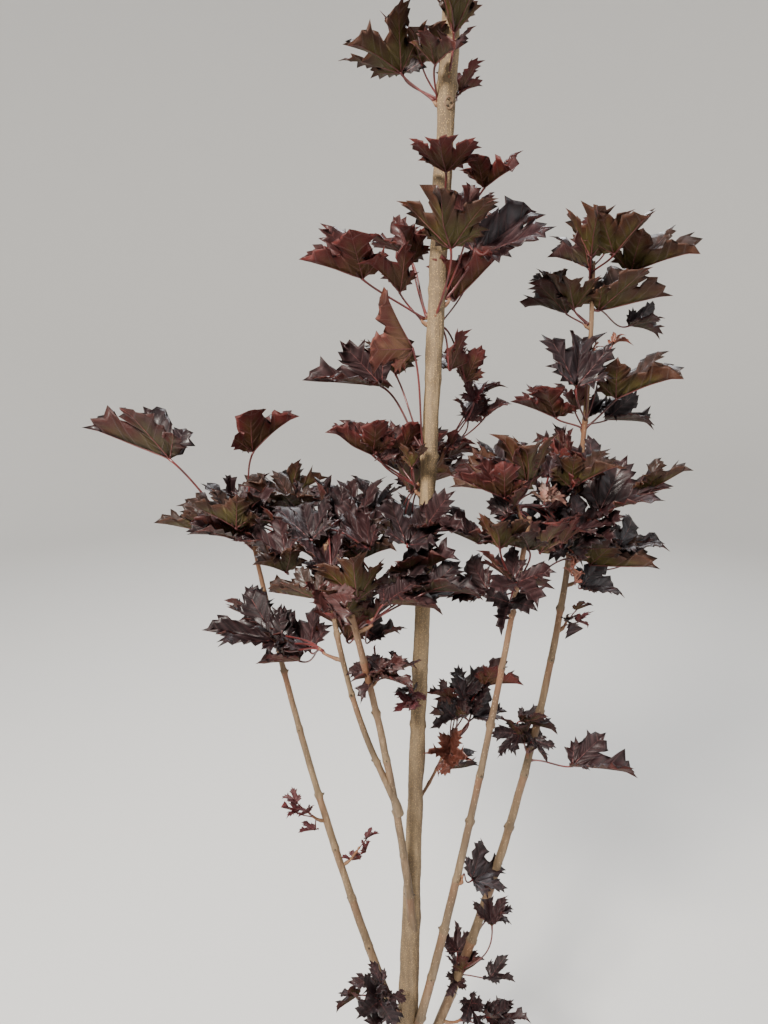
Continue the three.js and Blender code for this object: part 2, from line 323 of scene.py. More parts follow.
studio = {
    "floor": 4.6,  # radius of the level floor
    "floorRing": 0.6,  # and of a ring of points in it
    "cove": 1.6,  # radius of the curve up into the wall
    "coveSteps": 13,
    "wall": 4.5,
    "segments": 96,
    "plaster": {"Base Color": colour(0.72, 0.71, 0.69), "Roughness": 0.9},
    "grain": {"Scale": 60.0, "Detail": 4.0},
    "bump": (0.15, 0.002),  # strength and distance
    "world": colour(0.90, 0.90, 0.92),
    "worldPower": 0.5,
    "lights": {  # place, what it points at, width, power, colour
        "key": ((-1.5, -2.3, 3.6), (0, 0, 1.3), 1.0, 330, (1.0, 0.95, 0.87)),
        "fill": ((2.7, -1.6, 2.2), (0, 0, 1.2), 2.4, 30, (0.90, 0.95, 1.0)),
        "back": ((0.6, 2.6, 3.6), (0, 0, 1.4), 2.2, 110, (0.95, 0.97, 1.0)),
    },
}


def revolve(name, profile, segments, material):
    turns = [2 * math.pi * i / segments for i in range(segments)]
    points = [(r * math.cos(a), r * math.sin(a), z) for r, z in profile for a in turns]
    return newObject(name, points, ringFaces(len(profile), segments), [material])


def makeStudio():
    material, tree, shader = newMaterial("pale plaster", studio["plaster"])
    where = addNode(tree, "TexCoord").outputs["Object"]
    grain = addNode(tree, "TexNoise", {"Vector": where, **studio["grain"]}).outputs["Fac"]
    bumped(tree, shader, grain, *studio["bump"])
    cove = [
        (studio["floor"] + studio["cove"] * math.sin(a), studio["cove"] * (1 - math.cos(a)))
        for a in np.linspace(0, math.pi / 2, studio["coveSteps"])
    ]
    wall = (studio["floor"] + studio["cove"], studio["wall"])
    profile = [(0.0, 0.0), (studio["floorRing"], 0.0), *cove, wall]
    revolve("floor_and_backdrop", profile, studio["segments"], material)
    for name, (place, aim, width, power, tint) in studio["lights"].items():
        lamp = bpy.data.lights.new(name, "AREA")
        lamp.shape = "DISK"
        lamp.size = width
        lamp.energy = power
        lamp.color = tint
        stand = bpy.data.objects.new(name, lamp)
        stand.location = place
        stand.rotation_euler = (Vector(aim) - Vector(place)).to_track_quat("-Z", "Y").to_euler()
        bpy.context.scene.collection.objects.link(stand)
    world = bpy.data.worlds.new("studio")
    world.use_nodes = True
    world.node_tree.nodes["Background"].inputs["Color"].default_value = studio["world"]
    world.node_tree.nodes["Background"].inputs["Strength"].default_value = studio["worldPower"]
    bpy.context.scene.world = world


# Finishes of the wood and the stalks

woodFinishes = {
    "bark": {
        "light": colour(0.285, 0.200, 0.112),
        "dark": colour(0.090, 0.062, 0.040),
        "flush": colour(0.19, 0.12, 0.07),
        "lenticel": colour(0.58, 0.38, 0.17),
        "dashes": {"Scale": 540.0, "Length": 1.6, "Cover": 0.95},
        "rough": (0.70, 0.92),
        "relief": 0.0009,
    },
    "young bark": {
        "light": colour(0.235, 0.162, 0.092),
        "dark": colour(0.066, 0.045, 0.029),
        "flush": colour(0.20, 0.085, 0.045),
        "lenticel": colour(0.42, 0.29, 0.165),
        "dashes": {"Scale": 420.0, "Length": 2.4, "Cover": 0.35},
        "rough": (0.50, 0.72),
        "relief": 0.0005,
    },
}
woodLook = {
    "constants": {"Specular IOR Level": 0.35},
    "streaks": {"Scale": 160.0, "Length": 10.0, "Contrast": 0.22},
    "patches": {"Scale": 30.0, "Length": 3.0, "Contrast": 0.14},
    "dark": 0.6,  # how much of the dark tint the streaks and the patches take
    "dashShow": 0.7,
    "dashRise": 0.8,
    "bump": 0.7,
}


def woodMaterial(name):
    finish = woodFinishes[name]
    material, tree, shader = newMaterial(name, woodLook["constants"])
    streaks = useGroup(tree, streakGroup, woodLook["streaks"])["Fac"]
    patches = useGroup(tree, streakGroup, woodLook["patches"])["Fac"]
    flush = addNode(tree, "Attribute", attribute_name="flush").outputs["Fac"]
    dashes = useGroup(tree, lenticelGroup, finish["dashes"])["Mask"]
    tint = blend(tree, maths(tree, "MULTIPLY", streaks, woodLook["dark"]), finish["light"], finish["dark"])
    tint = blend(tree, maths(tree, "MULTIPLY", patches, woodLook["dark"]), tint, finish["dark"])
    tint = blend(tree, flush, tint, finish["flush"])
    tint = blend(tree, maths(tree, "MULTIPLY", dashes, woodLook["dashShow"]), tint, finish["lenticel"])
    rough = fade(tree, streaks, 0.0, 1.0, *finish["rough"])
    setInputs(tree, shader, {"Base Color": tint, "Roughness": rough})
    height = maths(tree, "MULTIPLY_ADD", dashes, woodLook["dashRise"], streaks)
    bumped(tree, shader, height, woodLook["bump"], finish["relief"])
    return material


streakyFinishes = {
    "crimson stalk": {
        "constants": {"Coat Roughness": 0.3, "Coat Weight": 0.15},
        "streaks": {"Scale": 90.0, "Length": 6.0, "Contrast": 0.2},
        "tints": (colour(0.140, 0.019, 0.018), colour(0.050, 0.013, 0.013)),
        "rough": (0.34, 0.5),
        "bump": (0.3, 0.0003),  # strength and distance
    },
    "dark scar": {
        "constants": {"Specular IOR Level": 0.2},
        "streaks": {"Scale": 300.0, "Length": 1.5, "Contrast": 0.2},
        "tints": (colour(0.035, 0.026, 0.02), colour(0.11, 0.08, 0.055)),
        "rough": (0.75, 0.95),
        "bump": (0.6, 0.0006),
    },
    "dusky rib": {
        "constants": {"Roughness": 0.45},
        "streaks": {"Scale": 60.0, "Length": 1.0, "Contrast": 0.2},
        "tints": (colour(0.17, 0.055, 0.05), colour(0.11, 0.03, 0.03)),
    },
    "pale rib": {
        "constants": {"Roughness": 0.45},
        "streaks": {"Scale": 60.0, "Length": 1.0, "Contrast": 0.2},
        "tints": (colour(0.50, 0.27, 0.21), colour(0.36, 0.16, 0.13)),
    },
}


def streakyMaterial(name):
    finish = streakyFinishes[name]
    material, tree, shader = newMaterial(name, finish["constants"])
    streaks = useGroup(tree, streakGroup, finish["streaks"])["Fac"]
    setInputs(tree, shader, {"Base Color": blend(tree, streaks, *finish["tints"])})
    if "rough" in finish:
        setInputs(tree, shader, {"Roughness": fade(tree, streaks, 0.0, 1.0, *finish["rough"])})
        bumped(tree, shader, streaks, *finish["bump"])
    return material


# Finishes of the leaves: each tint's upper side, and the heart and the rim of its underside

leafTints = {
    # night: the darkest purple leaves, their undersides' heart and rim made darker still as painted shade for
    # shaded undersides
    "night": {
        "top": (0.012, 0.005, 0.006), "vein": (0.047, 0.022, 0.022),
        "heart": (0.038, 0.026, 0.006), "rim": (0.040, 0.008, 0.006),
    },
    "plum": {
        "top": (0.020, 0.007, 0.008), "vein": (0.072, 0.028, 0.027),
        "heart": (0.058, 0.037, 0.007), "rim": (0.058, 0.010, 0.007),
    },
    "wine": {
        "top": (0.038, 0.009, 0.008), "vein": (0.105, 0.030, 0.025),
        "heart": (0.064, 0.027, 0.007), "rim": (0.080, 0.010, 0.008),
    },
    "bronze": {
        "top": (0.024, 0.011, 0.007), "vein": (0.078, 0.036, 0.024),
        "heart": (0.062, 0.047, 0.008), "rim": (0.052, 0.016, 0.006),
    },
    # rust: red-brown leaves, made brighter by a painted glow of light shining through them
    "rust": {
        "top": (0.090, 0.026, 0.016), "vein": (0.220, 0.085, 0.060),
        "heart": (0.150, 0.070, 0.034), "rim": (0.120, 0.030, 0.020),
    },
    "fresh": {
        "top": (0.062, 0.010, 0.013), "vein": (0.140, 0.030, 0.032),
        "heart": (0.085, 0.016, 0.014), "rim": (0.105, 0.012, 0.014),
    },
    "ember": {
        "top": (0.250, 0.090, 0.055), "vein": (0.400, 0.190, 0.130),
        "heart": (0.240, 0.090, 0.060), "rim": (0.190, 0.050, 0.035),
    },
    "pale": {
        "top": (0.520, 0.330, 0.270), "vein": (0.620, 0.420, 0.330),
        "heart": (0.470, 0.270, 0.200), "rim": (0.430, 0.190, 0.150),
    },
}
bladeLook = {
    "top": {
        "constants": {"Coat Weight": 0.1, "Coat Roughness": 0.22, "Specular IOR Level": 0.36},
        "veins": {"Vein Width": 0.035, "Vein Show": 0.6, "Net Show": 0.1, "Sheen Show": 0.5, "Mottle": 0.45},
        "rough": (0.38, 0.54),
        "bump": (0.8, 0.0004),  # strength and distance
    },
    "underside": {
        "constants": {"Specular IOR Level": 0.35},
        "veins": {"Vein Width": 0.04, "Vein Show": 0.55, "Net Show": 0.2, "Sheen Show": 0.2, "Mottle": 0.35},
        "rough": (0.50, 0.66),
        "bump": (0.8, 0.0006),
    },
    "sheenOnCrest": 0.7,  # share of the vein's tint in the painted sheen on the crests on top, to which a lilac-grey of painted sheen is added
    "paintedSheen": (0.033, 0.020, 0.022),
    "paler": 0.03,  # how much paler the veins are below than the rim and the veins on top
    "reach": 0.3,  # of the heart's tint below
}


def bladeMaterial(name, tint, side):
    # on top the veins are sunk in, and below they stand out
    look = bladeLook[side]
    material, tree, shader = newMaterial(name + " leaf " + side, look["constants"])
    # the crests get a painted sheen: on top the vein's tint lifted by a lilac-grey, below the vein's tint
    # itself
    if side == "top":
        sheenOnCrest = (bladeLook["sheenOnCrest"] * part + paintedSheen for part, paintedSheen in zip(tint["vein"], bladeLook["paintedSheen"]))
        tints = {"Blade Color": colour(*tint["top"]), "Vein Color": colour(*tint["vein"])}
        tints["Sheen Color"] = colour(*sheenOnCrest)
    else:
        flush = {"Heart Color": colour(*tint["heart"]), "Rim Color": colour(*tint["rim"])}
        heart = useGroup(tree, flushGroup, {**flush, "Reach": bladeLook["reach"]})["Color"]
        vein = (0.5 * (a + b) + bladeLook["paler"] for a, b in zip(tint["rim"], tint["vein"]))
        tints = {"Blade Color": heart, "Vein Color": colour(*vein), "Sheen Color": colour(*tint["vein"])}
    veins = useGroup(tree, veinGroup, {**tints, **look["veins"]})
    rough = fade(tree, veins["Dullness"], 0.0, 1.0, *look["rough"])
    setInputs(tree, shader, {"Base Color": veins["Color"], "Roughness": rough})
    height = maths(tree, "SUBTRACT", 1.0, veins["Height"]) if side == "top" else veins["Height"]
    bumped(tree, shader, height, *look["bump"])
    return material


barkMaterial = woodMaterial("bark")
youngBarkMaterial = woodMaterial("young bark")
stalkMaterial = streakyMaterial("crimson stalk")
scarMaterial = streakyMaterial("dark scar")
leafMaterials = [
    bladeMaterial(name, tint, side) for name, tint in leafTints.items() for side in ("top", "underside")
]
leafMaterials += [streakyMaterial("dusky rib"), streakyMaterial("pale rib")]
print("materials made:", len(bpy.data.materials))


# Joining of many small shapes into one mesh


def newPart():
    maps = {"veins": [], "flat": []}
    return {"points": [], "faces": [], "slots": [], "maps": maps, "flush": [], "count": 0}


def addShape(part, points, faces, slot=0, veins=None, flat=None, flush=None):
    blank = np.zeros((len(points), 2))
    start = part["count"]
    part["points"].append(np.asarray(points))
    part["faces"].extend([tuple(start + i for i in face) for face in faces])
    part["slots"].extend([slot] * len(faces) if np.isscalar(slot) else slot)
    part["maps"]["veins"].append(blank if veins is None else veins)
    part["maps"]["flat"].append(blank if flat is None else flat)
    part["flush"].append(np.zeros(len(points)) if flush is None else flush)
    part["count"] += len(points)


def finishPart(name, part, materials, nodes, maps=(), flush=False):
    made = newObject(name, np.concatenate(part["points"]).tolist(), part["faces"], materials)
    mesh = made.data
    mesh.polygons.foreach_set("material_index", part["slots"])
    corners = np.zeros(len(mesh.loops), np.int32)
    mesh.loops.foreach_get("vertex_index", corners)
    for layer in maps:
        spread = np.concatenate(part["maps"][layer])[corners]
        mesh.uv_layers.new(name=layer).data.foreach_set("uv", spread.ravel())
    if flush:
        shares = np.concatenate(part["flush"])
        mesh.attributes.new("flush", "FLOAT", "POINT").data.foreach_set("value", shares)
    mesh.update()
    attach(made, "root")
    if nodes:
        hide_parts(*nodes)


# Limbs: the line and the width of each are read from its node, by level slices


def unit(vector):
    vector = np.asarray(vector, float)
    return vector / max(float(np.linalg.norm(vector)), 1e-9)


def sliceNode(name, heights):
    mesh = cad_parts[name].data
    mesh.calc_loop_triangles()
    places = np.array([vertex.co[:] for vertex in mesh.vertices])
    corners = places[np.array([triangle.vertices[:] for triangle in mesh.loop_triangles])]
    slices = []
    for height in heights:
        crossings = []
        for first, second in ((0, 1), (1, 2), (2, 0)):
            low, high = corners[:, first], corners[:, second]
            cut = (low[:, 2] - height) * (high[:, 2] - height) < 0
            share = (height - low[cut, 2]) / (high[cut, 2] - low[cut, 2])
            crossings.append(low[cut] + share[:, None] * (high[cut] - low[cut]))
        slices.append(np.concatenate(crossings))
    return slices


def ringWidths(slices, centres):
    along = np.gradient(centres, axis=0)
    along /= np.linalg.norm(along, axis=1)[:, None]
    return np.array([
        np.linalg.norm(np.cross(ring - centre, way), axis=1).mean()
        for ring, centre, way in zip(slices, centres, along)
    ])


limbReading = {
    "slices": 70,
    "trunkEnds": (0.002, 0.004),  # left out below and above
    "trunkGather": 1.5,  # the slices lie closer together low down
    "trunkBend": 6,  # degree of the curve through the trunk's slices
    "boughClear": 0.32,  # share of a bough above its foot where the trunk no longer cuts into its slices
    "boughEnd": 0.012,
    "boughBend": 2,
}


def readTrunk():
    low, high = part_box("trunk")
    below, above = limbReading["trunkEnds"]
    shares = np.linspace(0, 1, limbReading["slices"]) ** limbReading["trunkGather"]
    heights = low.z + below + (high.z - low.z - below - above) * shares
    slices = sliceNode("trunk", heights)
    centres = np.array([ring.mean(axis=0) for ring in slices])
    radii = ringWidths(slices, centres)
    curve = np.polyfit(heights, centres[:, :2], limbReading["trunkBend"])
    return {"low": low.z, "high": high.z, "curve": curve, "heights": heights, "radii": radii}


def readBough(name):
    low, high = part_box(name)
    start = low.z + limbReading["boughClear"] * (high.z - low.z)
    heights = np.linspace(start, high.z - limbReading["boughEnd"], limbReading["slices"])
    slices = sliceNode(name, heights)
    centres = np.array([ring.mean(axis=0) for ring in slices])
    curve = np.polyfit(heights, centres[:, :2], limbReading["boughBend"])
    taper = np.polyfit(heights, ringWidths(slices, centres), 1)
    ends = np.array((low.z, high.z))
    return {"low": low.z, "high": high.z, "curve": curve, "heights": ends, "radii": np.polyval(taper, ends)}


def placeOn(limb, height):
    x, y = (np.polyval(limb["curve"][:, axis], height) for axis in (0, 1))
    return np.stack((x, y, height * np.ones_like(x)), axis=-1)


def radiusOn(limb, height):
    return np.interp(height, limb["heights"], limb["radii"])


def parentOf(name):
    # the limb that a bough leaves: the one nearest its foot
    limb = limbs[name]
    foot = placeOn(limb, limb["low"])
    lower = [other for other in limbs if limbs[other]["low"] < limb["low"]]
    return min(lower, key=lambda other: np.linalg.norm(placeOn(limbs[other], limb["low"]) - foot))


boughNames = [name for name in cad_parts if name.startswith("bough")]
limbs = {"trunk": readTrunk(), **{name: readBough(name) for name in boughNames}}
print("limbs read:", len(limbs))


# Tubes with relief, for bark, twigs and stalks


def tube(path, radii, sides):
    # radii is one for each ring, or one for each ring and side
    path = np.asarray(path, float)
    rings = len(path)
    along = np.gradient(path, axis=0)
    along /= np.linalg.norm(along, axis=1)[:, None]
    side = unit(np.cross(along[0], askew))
    across = np.empty((rings, 2, 3))
    for i in range(rings):
        side = unit(side - np.dot(side, along[i]) * along[i])
        across[i] = side, np.cross(along[i], side)
    turns = 2 * np.pi * np.arange(sides) / sides
    rim = np.stack((np.cos(turns), np.sin(turns)), axis=1)
    spread = np.broadcast_to(np.asarray(radii, float).reshape(rings, -1), (rings, sides))
    points = path[:, None, :] + spread[..., None] * (rim @ across)
    points = np.concatenate((points.reshape(-1, 3), path[:1], path[-1:]))
    faces = ringFaces(rings, sides)
    foot, tip = rings * sides, rings * sides + 1
    last = (rings - 1) * sides
    for i in range(sides):
        j = (i + 1) % sides
        faces.append((foot, j, i))
        faces.append((tip, last + i, last + j))
    return points, faces


def anyPhase(rng):
    return rng.uniform(0, 6.28)


def sway(rng, most):
    return rng.uniform(-most, most)


def ripples(angle, along, rng, count, turns, waves):
    # a seamless uneven surface: waves that run round and along the limb
    total = np.zeros(np.broadcast(angle, along).shape)
    for _ in range(count):
        around = rng.randint(*turns)
        total += np.sin(around * angle + 2 * np.pi * along / rng.uniform(*waves) + anyPhase(rng))
    return total / math.sqrt(count)


barkSettings = {
    "trunk": {"sides": 60, "step": 0.0045, "furrow": 0.0003, "lump": 0.0006, "nodeGap": 0.112},
    "bough": {"sides": 26, "step": 0.0030, "furrow": 0.00014, "lump": 0.0003, "nodeGap": 0.104},
    "furrows": {"count": 14, "turns": (5, 19), "waves": (0.012, 0.12)},
    "lumps": {"count": 6, "turns": (1, 3), "waves": (0.05, 0.2)},
    "below": 0.012,  # how far a bough's bark starts below its foot
    "flare": {"reach": 0.004, "height": 0.05, "lobes": 5, "turn": 0.7},  # uneven root flare at the ground
    "collar": {"rise": 0.0042, "tall": 0.020, "up": 0.02, "ahead": 0.1},  # on the trunk where a bough leaves
    "foot": {"wider": 0.34, "tall": 0.030, "drawnIn": 0.5},  # of a bough, which bends into its parent there
    "upperTrunk": {"from": 1.3, "to": 1.85, "wider": 0.17},  # the leader is hardly thinner than the stem
}
nodeSettings = {
    "firstOnTrunk": 0.96,
    "firstOnBough": 0.09,  # above its foot
    "gaps": (0.82, 1.18),
    "lastGap": 0.3,  # least share of a gap between the last node and the limb's tip
    "rise": 0.0009,
    "tall": 0.0045,
    "groove": {"depth": 0.5, "up": 0.2, "sharp": 9},
    "flush": {"tall": 0.045, "share": (0.1, 0.6)},  # the reddish stretch below a node of a bough
    "tips": {"from": 0.6, "share": 0.5},  # and the one towards its tip
}
pairSettings = {  # a pair of scars at each node, with a bud in each on a bough
    "turn": 0.25,  # most by which one stands off its quarter, in radians
    "up": 0.002,
    "rise": 0.0026,
    "rises": (0.3, 1.0),  # shares of the rise, at random
    "tall": 0.0042,
    "wide": 0.5,  # in radians
    "bud": 0.0055,
    "buds": (0.5, 1.1),  # shares of a bud's length, at random
    "budUp": 0.001,
    "budSunk": 0.95,
    "budSteep": 1.2,  # how far up it points for each length outwards
}


def nodeHeights(limb, first, gap, rng):
    heights = []
    height = first
    while height < limb["high"] - nodeSettings["lastGap"] * gap:
        heights.append(height)
        height += gap * rng.uniform(*nodeSettings["gaps"])
    return heights


def addPair(name, radius, angle, z, node, number, rng, wood):
    # two swellings across from each other, turned by a quarter from node to node. radius is changed in place
    limb, pair = limbs[name], pairSettings
    for hand in (0, np.pi):
        turn = number * np.pi / 2 + hand + sway(rng, pair["turn"])
        away = np.angle(np.exp(1j * (angle - turn))) / pair["wide"]
        lift = (z - node - pair["up"]) / pair["tall"]
        rise = pair["rise"] * rng.uniform(*pair["rises"])
        radius += rise * np.exp(-(away**2) - lift**2)
        if name != "trunk":
            way = np.array((math.cos(turn), math.sin(turn), pair["budSteep"]))
            out = pair["budSunk"] * radiusOn(limb, node) * way * noHeight
            length = pair["bud"] * rng.uniform(*pair["buds"])
            addBud(wood, placeOn(limb, node + pair["budUp"]) + out, way, length, slot=1)


def growNodes(name, radius, flush, angle, z, rng, wood):
    # radius and flush are changed in place here too
    limb, isTrunk = limbs[name], name == "trunk"
    groove, reddish = nodeSettings["groove"], nodeSettings["flush"]
    gap = barkSettings["trunk" if isTrunk else "bough"]["nodeGap"]
    first = nodeSettings["firstOnTrunk"] if isTrunk else limb["low"] + nodeSettings["firstOnBough"]
    for number, node in enumerate(nodeHeights(limb, first, gap, rng)):
        offset = (z - node) / nodeSettings["tall"]
        cut = 1 - groove["depth"] * np.exp(-((offset - groove["up"]) ** 2) * groove["sharp"])
        radius += nodeSettings["rise"] * np.exp(-(offset**2)) * cut
        addPair(name, radius, angle, z, node, number, rng, wood)
        if not isTrunk:
            below = (node - z) / reddish["tall"]
            flush += np.where(below > 0, np.exp(-(below**2)), 0) * rng.uniform(*reddish["share"])


def shapeTrunk(radius, angle, z):
    # its wider upper part, its root flare, and a swelling where each bough leaves it, all put into radius
    upper, flare, collar = (barkSettings[key] for key in ("upperTrunk", "flare", "collar"))
    share = np.clip((z - upper["from"]) / (upper["to"] - upper["from"]), 0, 1)
    radius *= 1 + upper["wider"] * share**2 * (3 - 2 * share)
    radius += flare["reach"] * np.exp(-z / flare["height"]) * np.sin(flare["lobes"] * angle + flare["turn"])
    for name in boughNames:
        if parentOf(name) != "trunk":
            continue
        leaving = limbs[name]["low"] + collar["up"]
        ahead = leaving + collar["ahead"]
        way = placeOn(limbs[name], ahead) - placeOn(limbs["trunk"], ahead)
        away = np.cos(angle - math.atan2(way[1], way[0]))
        lift = (z - leaving) / collar["tall"]
        radius += collar["rise"] * np.clip(away, 0, 1) ** 2 * np.exp(-(lift**2))


def growBark(name, wood):
    limb, isTrunk, foot = limbs[name], name == "trunk", barkSettings["foot"]
    settings = barkSettings["trunk" if isTrunk else "bough"]
    rng = random.Random(name)
    start = limb["low"] if isTrunk else limb["low"] - barkSettings["below"]
    heights = np.linspace(start, limb["high"], int((limb["high"] - start) / settings["step"]))
    path = placeOn(limb, heights)
    if not isTrunk:
        share = foot["drawnIn"] * np.exp(-np.clip(heights - limb["low"], 0, None) / foot["tall"])
        path = path + share[:, None] * (placeOn(limbs[parentOf(name)], heights) - path)
    angle = 2 * np.pi * np.arange(settings["sides"])[None, :] / settings["sides"]
    z = heights[:, None]
    radius = radiusOn(limb, heights)[:, None] * np.ones_like(angle)
    radius = radius + settings["furrow"] * ripples(angle, z, rng, **barkSettings["furrows"])
    radius = radius + settings["lump"] * ripples(angle, z, rng, **barkSettings["lumps"])
    flush = np.zeros_like(radius)
    growNodes(name, radius, flush, angle, z, rng, wood)
    if isTrunk:
        shapeTrunk(radius, angle, z)
    else:
        radius *= 1 + foot["wider"] * np.exp(-np.clip(z - limb["low"], 0, None) / foot["tall"])
        along = np.clip((z - limb["low"]) / (limb["high"] - limb["low"]), 0, 1)
        tips = nodeSettings["tips"]
        flush += tips["share"] * np.clip(along - tips["from"], 0, 1) / (1 - tips["from"])
    points, faces = tube(path, radius, settings["sides"])
    if isTrunk:
        points[:, 2] = np.maximum(points[:, 2], 0.0)
    part = newPart()
    addShape(part, points, faces, flush=np.concatenate((np.clip(flush, 0, 1).ravel(), (0.0, 0.0))))
    material = barkMaterial if isTrunk else youngBarkMaterial
    finishPart(name + "_bark", part, [material], [name], flush=True)
    return len(faces)


# The leaf blade, in lengths of its middle vein. Each lobe has rows that run from its own vein out to
# the line between two lobes, three of them, and then to the margin's teeth and notches in turn.

leafPlan = {
    "columns": 4,
    "lobes": (
        {
            "turn": 0,
            "length": 1.0,
            "veins": (0.09, 0.18, 0.27, 0.37, 0.44, 0.50, 0.60, 0.76, 0.83, 1.0),
            "outer": ((0.60, 0.205), (0.68, 0.235), (0.79, 0.305), (0.77, 0.185),
                      (0.90, 0.155), (0.88, 0.060)),
        },
        {
            "turn": 46,
            "length": 0.84,
            "veins": (0.09, 0.18, 0.27, 0.36, 0.43, 0.50, 0.60, 0.76, 0.83, 1.0),
            "inner": ((0.62, 0.20), (0.69, 0.215), (0.79, 0.265), (0.77, 0.165),
                      (0.90, 0.135), (0.87, 0.055)),
            "outer": ((0.56, 0.23), (0.65, 0.245), (0.76, 0.295), (0.76, 0.20), (0.88, 0.165), (0.87, 0.07)),
        },
        {
            "turn": 88,
            "length": 0.50,
            "veins": (0.11, 0.22, 0.34, 0.46, 0.55, 0.66, 0.78, 1.0),
            "inner": ((0.72, 0.26), (0.76, 0.21), (0.89, 0.23), (0.84, 0.09)),
            "outer": ((0.12, 0.10), (0.26, 0.16), (0.40, 0.20),
                      (0.58, 0.31), (0.60, 0.17), (0.84, 0.19), (0.80, 0.06)),
        },
    ),
    "sinuses": ((24, 0.54), (70, 0.44)),  # turn from the middle vein, and reach
    "sinusRows": 3,
}
bladeJitter = {  # most by which a blade's outline differs from the plan: degrees of a turn, else shares
    "middle": 0.1,
    "turn": 5,
    "length": 0.12,
    "sinusTurn": 2,
    "sinusReach": 0.12,
    "margin": (0.04, 0.22),  # along the lobe and across it
}


def bladePoints(rng, cut, jitter):
    # every row's points, doubled where two halves of a lobe meet. cut draws the notches between lobes in.
    lobes, sinuses, most = leafPlan["lobes"], leafPlan["sinuses"], bladeJitter
    shares = np.linspace(0, 1, leafPlan["columns"] + 1)[None, :, None]
    middle = 1 + jitter * sway(rng, most["middle"])
    rows = []
    for side in (1, -1):
        turns = [lobe["turn"] + jitter * sway(rng, most["turn"]) * (lobe["turn"] > 0) for lobe in lobes]
        lengths = [middle, *(lobe["length"] * (1 + jitter * sway(rng, most["length"])) for lobe in lobes[1:])]
        gaps = []
        for turn, reach in sinuses:
            bend = math.radians(turn + jitter * sway(rng, most["sinusTurn"]))
            reach *= cut * (1 + jitter * sway(rng, most["sinusReach"]))
            gaps.append(reach * np.array((math.sin(bend), math.cos(bend))))
        for number, lobe in enumerate(lobes):
            turn = math.radians(turns[number])
            along = np.array((math.sin(turn), math.cos(turn)))
            outward = np.array((math.cos(turn), -math.sin(turn)))
            veins = np.array((0.0, *lobe["veins"]))[:, None] * lengths[number] * along
            for half in ("inner", "outer"):
                if half not in lobe:
                    continue
                hand = 1 if half == "outer" else -1
                margin = np.array(lobe[half]) * lengths[number]
                swayed = np.array([[sway(rng, share) for share in most["margin"]] for _ in margin])
                margin = margin * (1 + jitter * swayed)
                margin[:, 1] *= 0.5 + 0.5 * cut
                edge = margin[:, :1] * along + hand * margin[:, 1:] * outward
                gap = gaps[number] if half == "outer" and number < len(gaps) else None
                gap = gaps[number - 1] if half == "inner" else gap
                if gap is not None:
                    steps = np.arange(1, leafPlan["sinusRows"] + 1)[:, None] / leafPlan["sinusRows"]
                    edge = np.concatenate((steps * gap, edge))
                ends = np.concatenate((np.zeros((1, 2)), edge, veins[-1:]))
                grid = veins[:, None, :] + shares * (ends - veins)[:, None, :]
                grid[..., 0] *= side
                rows.append(grid.reshape(-1, 2))
    return np.concatenate(rows)


def bladeLayout():
    # what stays the same in every blade: which points are one, its faces, and each point's place in its lobe
    lobes, wide = leafPlan["lobes"], leafPlan["columns"] + 1
    plain = bladePoints(random.Random(0), 1.0, 0.0)
    keys, first, merged = np.unique(np.round(plain, 5), axis=0, return_index=True, return_inverse=True)
    merged = merged.ravel()
    corners, details, ribs = [], [], []
    start = 0
    for side in (1, -1):
        for number, lobe in enumerate(lobes):
            count = len(lobe["veins"]) + 1
            ribStart = start
            for half in ("inner", "outer"):
                if half not in lobe:
                    continue
                joined = half == "inner" or number < len(leafPlan["sinuses"])
                for row in range(count):
                    free = 1.0 if not joined or row >= leafPlan["sinusRows"] else 0.0
                    for column in range(wide):
                        details.append((row / 2, column / (wide - 1), row % 2, free, number))
                for row in range(count - 1):
                    for column in range(wide - 1):
                        corner = start + row * wide + column
                        corners.append((corner, corner + 1, corner + wide + 1))
                        corners.append((corner, corner + wide + 1, corner + wide))
                start += count * wide
            if side == 1 or number > 0:
                ribs.append([merged[ribStart + row * wide] for row in range(count)])
    faces = []
    for face in (merged[list(ends)] for ends in corners):
        if len(set(face)) == 3:
            one, two, three = keys[face]
            turned = (two[0] - one[0]) * (three[1] - one[1]) - (two[1] - one[1]) * (three[0] - one[0])
            faces.append(tuple(face if turned > 0 else face[::-1]))
    edges = {}
    for face in faces:
        for i, point in enumerate(face):
            pair = frozenset((point, face[i - 1]))
            edges[pair] = edges.get(pair, 0) + 1
    rim = sorted({point for pair, uses in edges.items() if uses == 1 for point in pair})
    details = np.array(details)[first]
    return {"first": first, "faces": np.array(faces), "details": details, "ribs": ribs, "rim": rim}


blade = bladeLayout()

